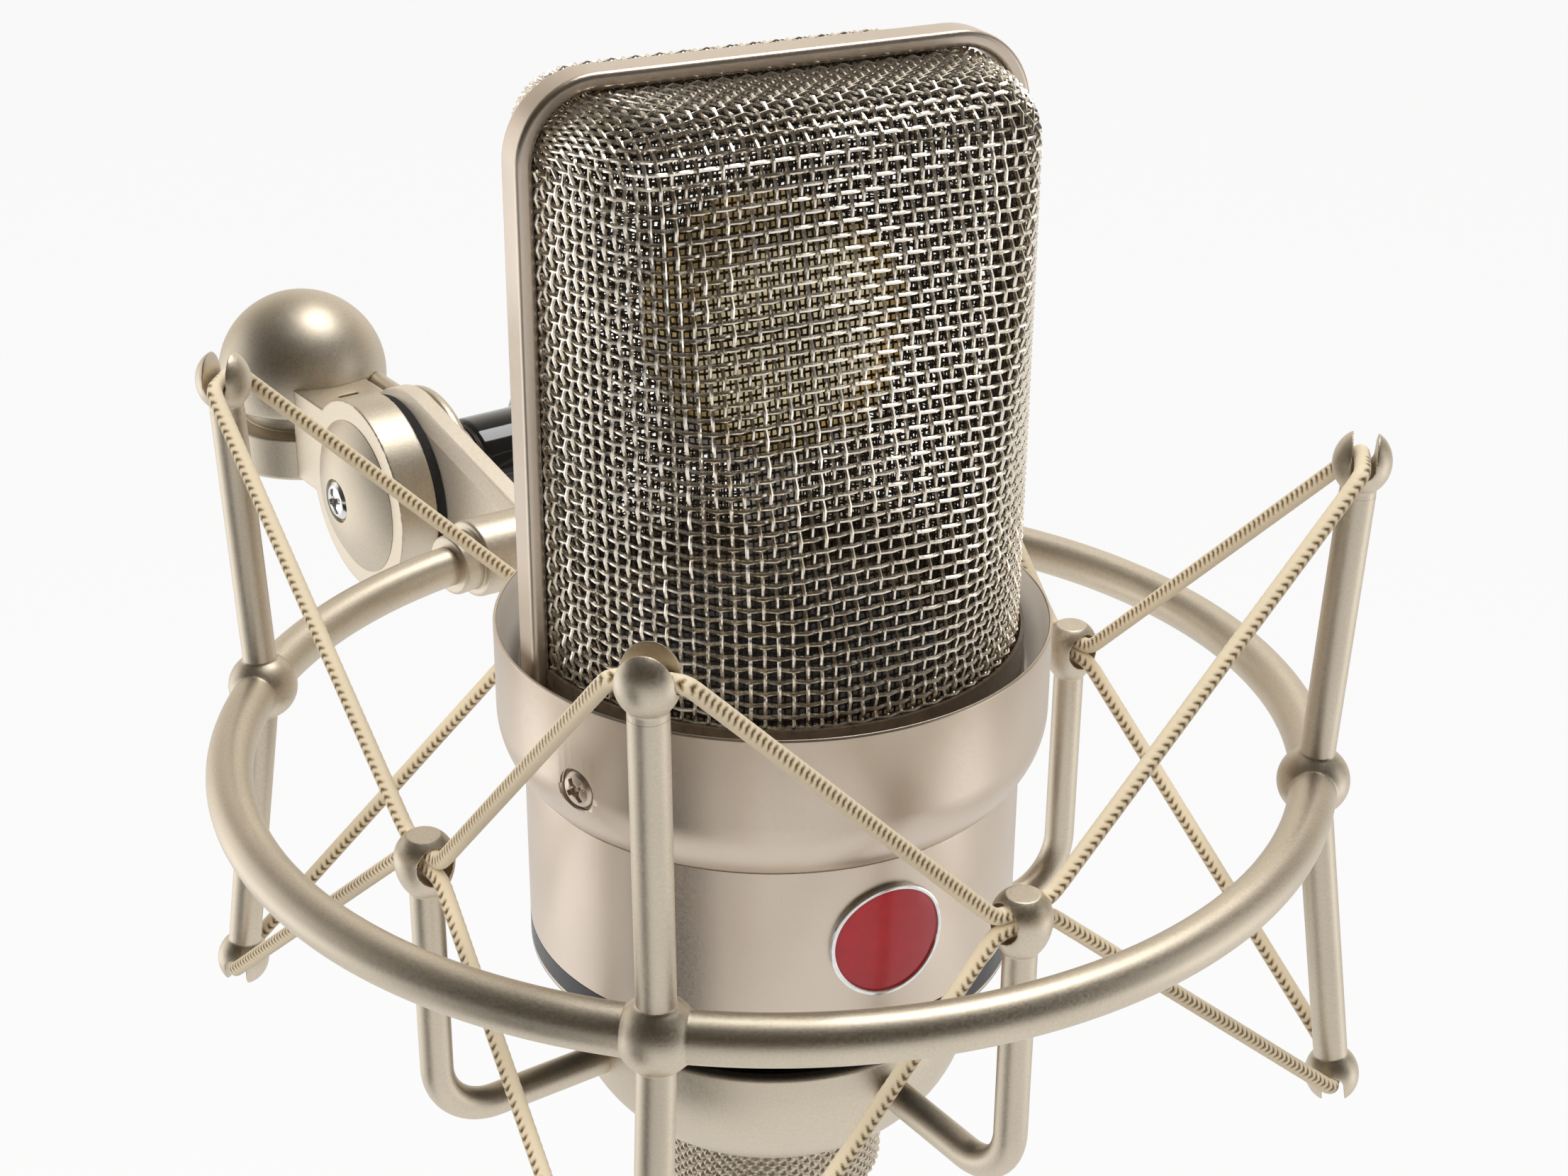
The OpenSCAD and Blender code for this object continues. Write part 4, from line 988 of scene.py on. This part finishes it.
def head_point_grid(inset, pitch_across, pitch_up):
    """Crossing points of the front half, as an array [wire across][wire up], nan where the wire has ended."""
    r, top, rounding = mesh_r - inset, mesh_top - inset, mesh_round - inset

    def depth(z):
        return mesh_r - slope * (z - face_foot) - inset * secant

    turn_z = top - rounding
    yc = depth(turn_z) - rounding * secant
    touch_z = turn_z + rounding * slope / secant
    first = np.arcsin(0.9 / r)

    def plan(z, share):
        d = depth(z)
        edge = np.arcsin(min(1.0, d / r))
        arc_len = r * (edge - first)
        chord = 2 * r * cos(edge)
        s = share * (2 * arc_len + chord)
        x = np.where(s < arc_len, -r * np.cos(first + s / r),
                     np.where(s < arc_len + chord, -r * cos(edge) + (s - arc_len),
                              r * np.cos(edge - (s - arc_len - chord) / r)))
        y = np.where(s < arc_len, -r * np.sin(first + s / r),
                     np.where(s < arc_len + chord, -r * sin(edge),
                              -r * np.sin(edge - (s - arc_len - chord) / r)))
        return x, y

    wires = int(round(pi * r / pitch_across))
    share = (np.arange(wires) + 0.5) / wires
    levels = np.arange(mesh_foot, straight_top, pitch_up)
    columns = [list() for _ in range(wires)]
    for z in levels:
        x, y = plan(z, share)
        for k in range(wires):
            columns[k].append((x[k], y[k], z))
    x, y = plan(straight_top, share)
    for k in range(wires):
        fine = []
        for z in np.arange(levels[-1], top, 0.1):
            bulge = sqrt(max(rounding ** 2 - (z - turn_z) ** 2, 0))
            side = r if z < turn_z else r - rounding + bulge
            face = depth(z) if z < touch_z else yc + bulge
            if side < abs(x[k]) + 0.01:
                break
            fine.append((x[k], -min(sqrt(side ** 2 - x[k] ** 2), face), z))
        fine += [(x[k], y_lid, fine[-1][2]) for y_lid in np.arange(fine[-1][1] + 0.1, -0.6, 0.1)]
        fine = relaxed(fine)
        length = run_length(fine)
        for at in np.arange(pitch_up, length[-1], pitch_up):
            columns[k].append([np.interp(at, length, fine[:, i]) for i in range(3)])
    rows = max(len(c) for c in columns)
    grid = np.full((wires, rows, 3), np.nan)
    for k, column in enumerate(columns):
        grid[k, :len(column)] = column
    for _ in range(3):
        smooth = 0.5 * grid[1:-1] + 0.25 * (grid[:-2] + grid[2:])
        grid[1:-1] = np.where(np.isnan(smooth), grid[1:-1], smooth)
    return grid


def woven(grid, wire_r, wave, sides, between):
    """Tubes along both directions of a grid of crossings, with points halfway between where asked for."""
    normal = np.zeros_like(grid)
    wires, rows = grid.shape[:2]
    for k in range(wires):
        for j in range(rows):
            if np.isnan(grid[k, j, 0]):
                continue
            k0, k1 = max(k - 1, 0), min(k + 1, wires - 1)
            j0, j1 = max(j - 1, 0), min(j + 1, rows - 1)
            a, b, c = (grid[k, j] if np.isnan(grid[p][0]) else grid[p] for p in ((k1, j), (k0, j), (k, j1)))
            n = np.cross(a - b, c - grid[k, j0])
            size = np.linalg.norm(n)
            normal[k, j] = n / size if size > 1e-9 else (0, -1, 0)
    parts = []

    def wire(points, normals, phase):
        if len(points) < 3:
            return
        sign = np.where((np.arange(len(points)) + phase) % 2 == 0, 1.0, -1.0)
        offset = points + (sign * wave)[:, None] * normals
        if between:
            full = np.zeros((2 * len(points) - 1, 3))
            full[::2] = offset
            full[1::2] = 0.5 * (offset[:-1] + offset[1:])
            offset = full
        parts.append(swept(offset, wire_r, sides))

    for k in range(wires):
        have = ~np.isnan(grid[k, :, 0])
        wire(grid[k, have], normal[k, have], k)
    for j in range(rows):
        have = ~np.isnan(grid[:, j, 0])
        edges = np.flatnonzero(np.diff(np.concatenate([[0], have.astype(int), [0]])))
        for start, end in zip(edges[::2], edges[1::2]):
            wire(grid[start:end, j], normal[start:end, j], j + start + 1)
    return joined(*parts)


wire_skin = dict(dent_size=3000.0, relief=0.03, painted_dent_shade=0.03)
wire_nickel = blasted_metal("wire_nickel", (0.93, 0.86, 0.75), 0.24, **wire_skin)
# Painted shade: the finer weave is coloured nearly black so that the inside of the head reads dark.
fine_wire = blasted_metal("fine_wire", (0.06, 0.05, 0.038), 0.35, **wire_skin)
outer_half = woven(head_point_grid(inset=0.6, pitch_across=1.86, pitch_up=1.67),
                   wire_r=0.27, wave=0.27, sides=6, between=True)
inner_half = woven(head_point_grid(inset=2.1, pitch_across=0.9, pitch_up=0.9),
                   wire_r=0.16, wave=0.09, sides=4, between=False)
for half, flip in (("front", 1), ("rear", -1)):
    for label, shape, metal, slot, stands in (
            ("wire", outer_half, wire_nickel, "woven_wire", half + "_grille"),
            ("fine_wire", inner_half, fine_wire, "fine_wire", half + "_inner_mesh")):
        verts = [(flip * x, flip * y, z) for x, y, z in shape[0]]
        piece = mesh_piece(f"{half}_{label}", verts, shape[1], mic_place)
        piece.modifiers.clear()
        piece.visible_shadow = False
        dress(piece, metal, "basket", [stands])

# Capsule: two gold-sputtered film membranes on a brass body, each under a ring with small screws, on a saddle
# with a rubber damper.
# Painted light: the membranes get a pale, almost non-metallic gold, so that they read bright behind the
# grille.
membrane_gold_painted_light = blasted_metal("membrane_gold_painted_light", (1.0, 0.84, 0.50), 0.3, 400.0, 0.02, metallic=0.05)
for name in ("capsule_body", "clamp_rings"):
    dress(nodes[name], gold_plate)
for name in ("front_diaphragm", "rear_diaphragm"):
    dress(nodes[name], membrane_gold_painted_light)
dress(nodes["clamp_screws"], bright_steel)
turned_aluminium = blasted_metal("turned_aluminium", (0.72, 0.72, 0.73), 0.35, 1500.0, 0.05)
dress(nodes["capsule_saddle"], turned_aluminium)
dress_moulded("capsule_damper", "damper_rubber", (0.01, 0.01, 0.01), (0.022, 0.022, 0.022), 0.7)
dress_moulded("capsule_platform", "insulator_black", (0.008, 0.008, 0.008), (0.016, 0.016, 0.016), 0.5)

# Amplifier: a green epoxy board between two aluminium rails inside the tube. It carries film and electrolytic
# capacitors and the input transistor in its steel can.
dress(nodes["chassis_rails"], turned_aluminium)
dress_moulded("circuit_board", "board_green", (0.012, 0.09, 0.04), (0.02, 0.14, 0.06), 0.35, Grain_size=400.0)
dress_moulded("capacitors", "capacitor_red", (0.28, 0.03, 0.02), (0.36, 0.05, 0.03), 0.3, Grain_size=250.0)
dress(nodes["input_transistor"], bright_steel)
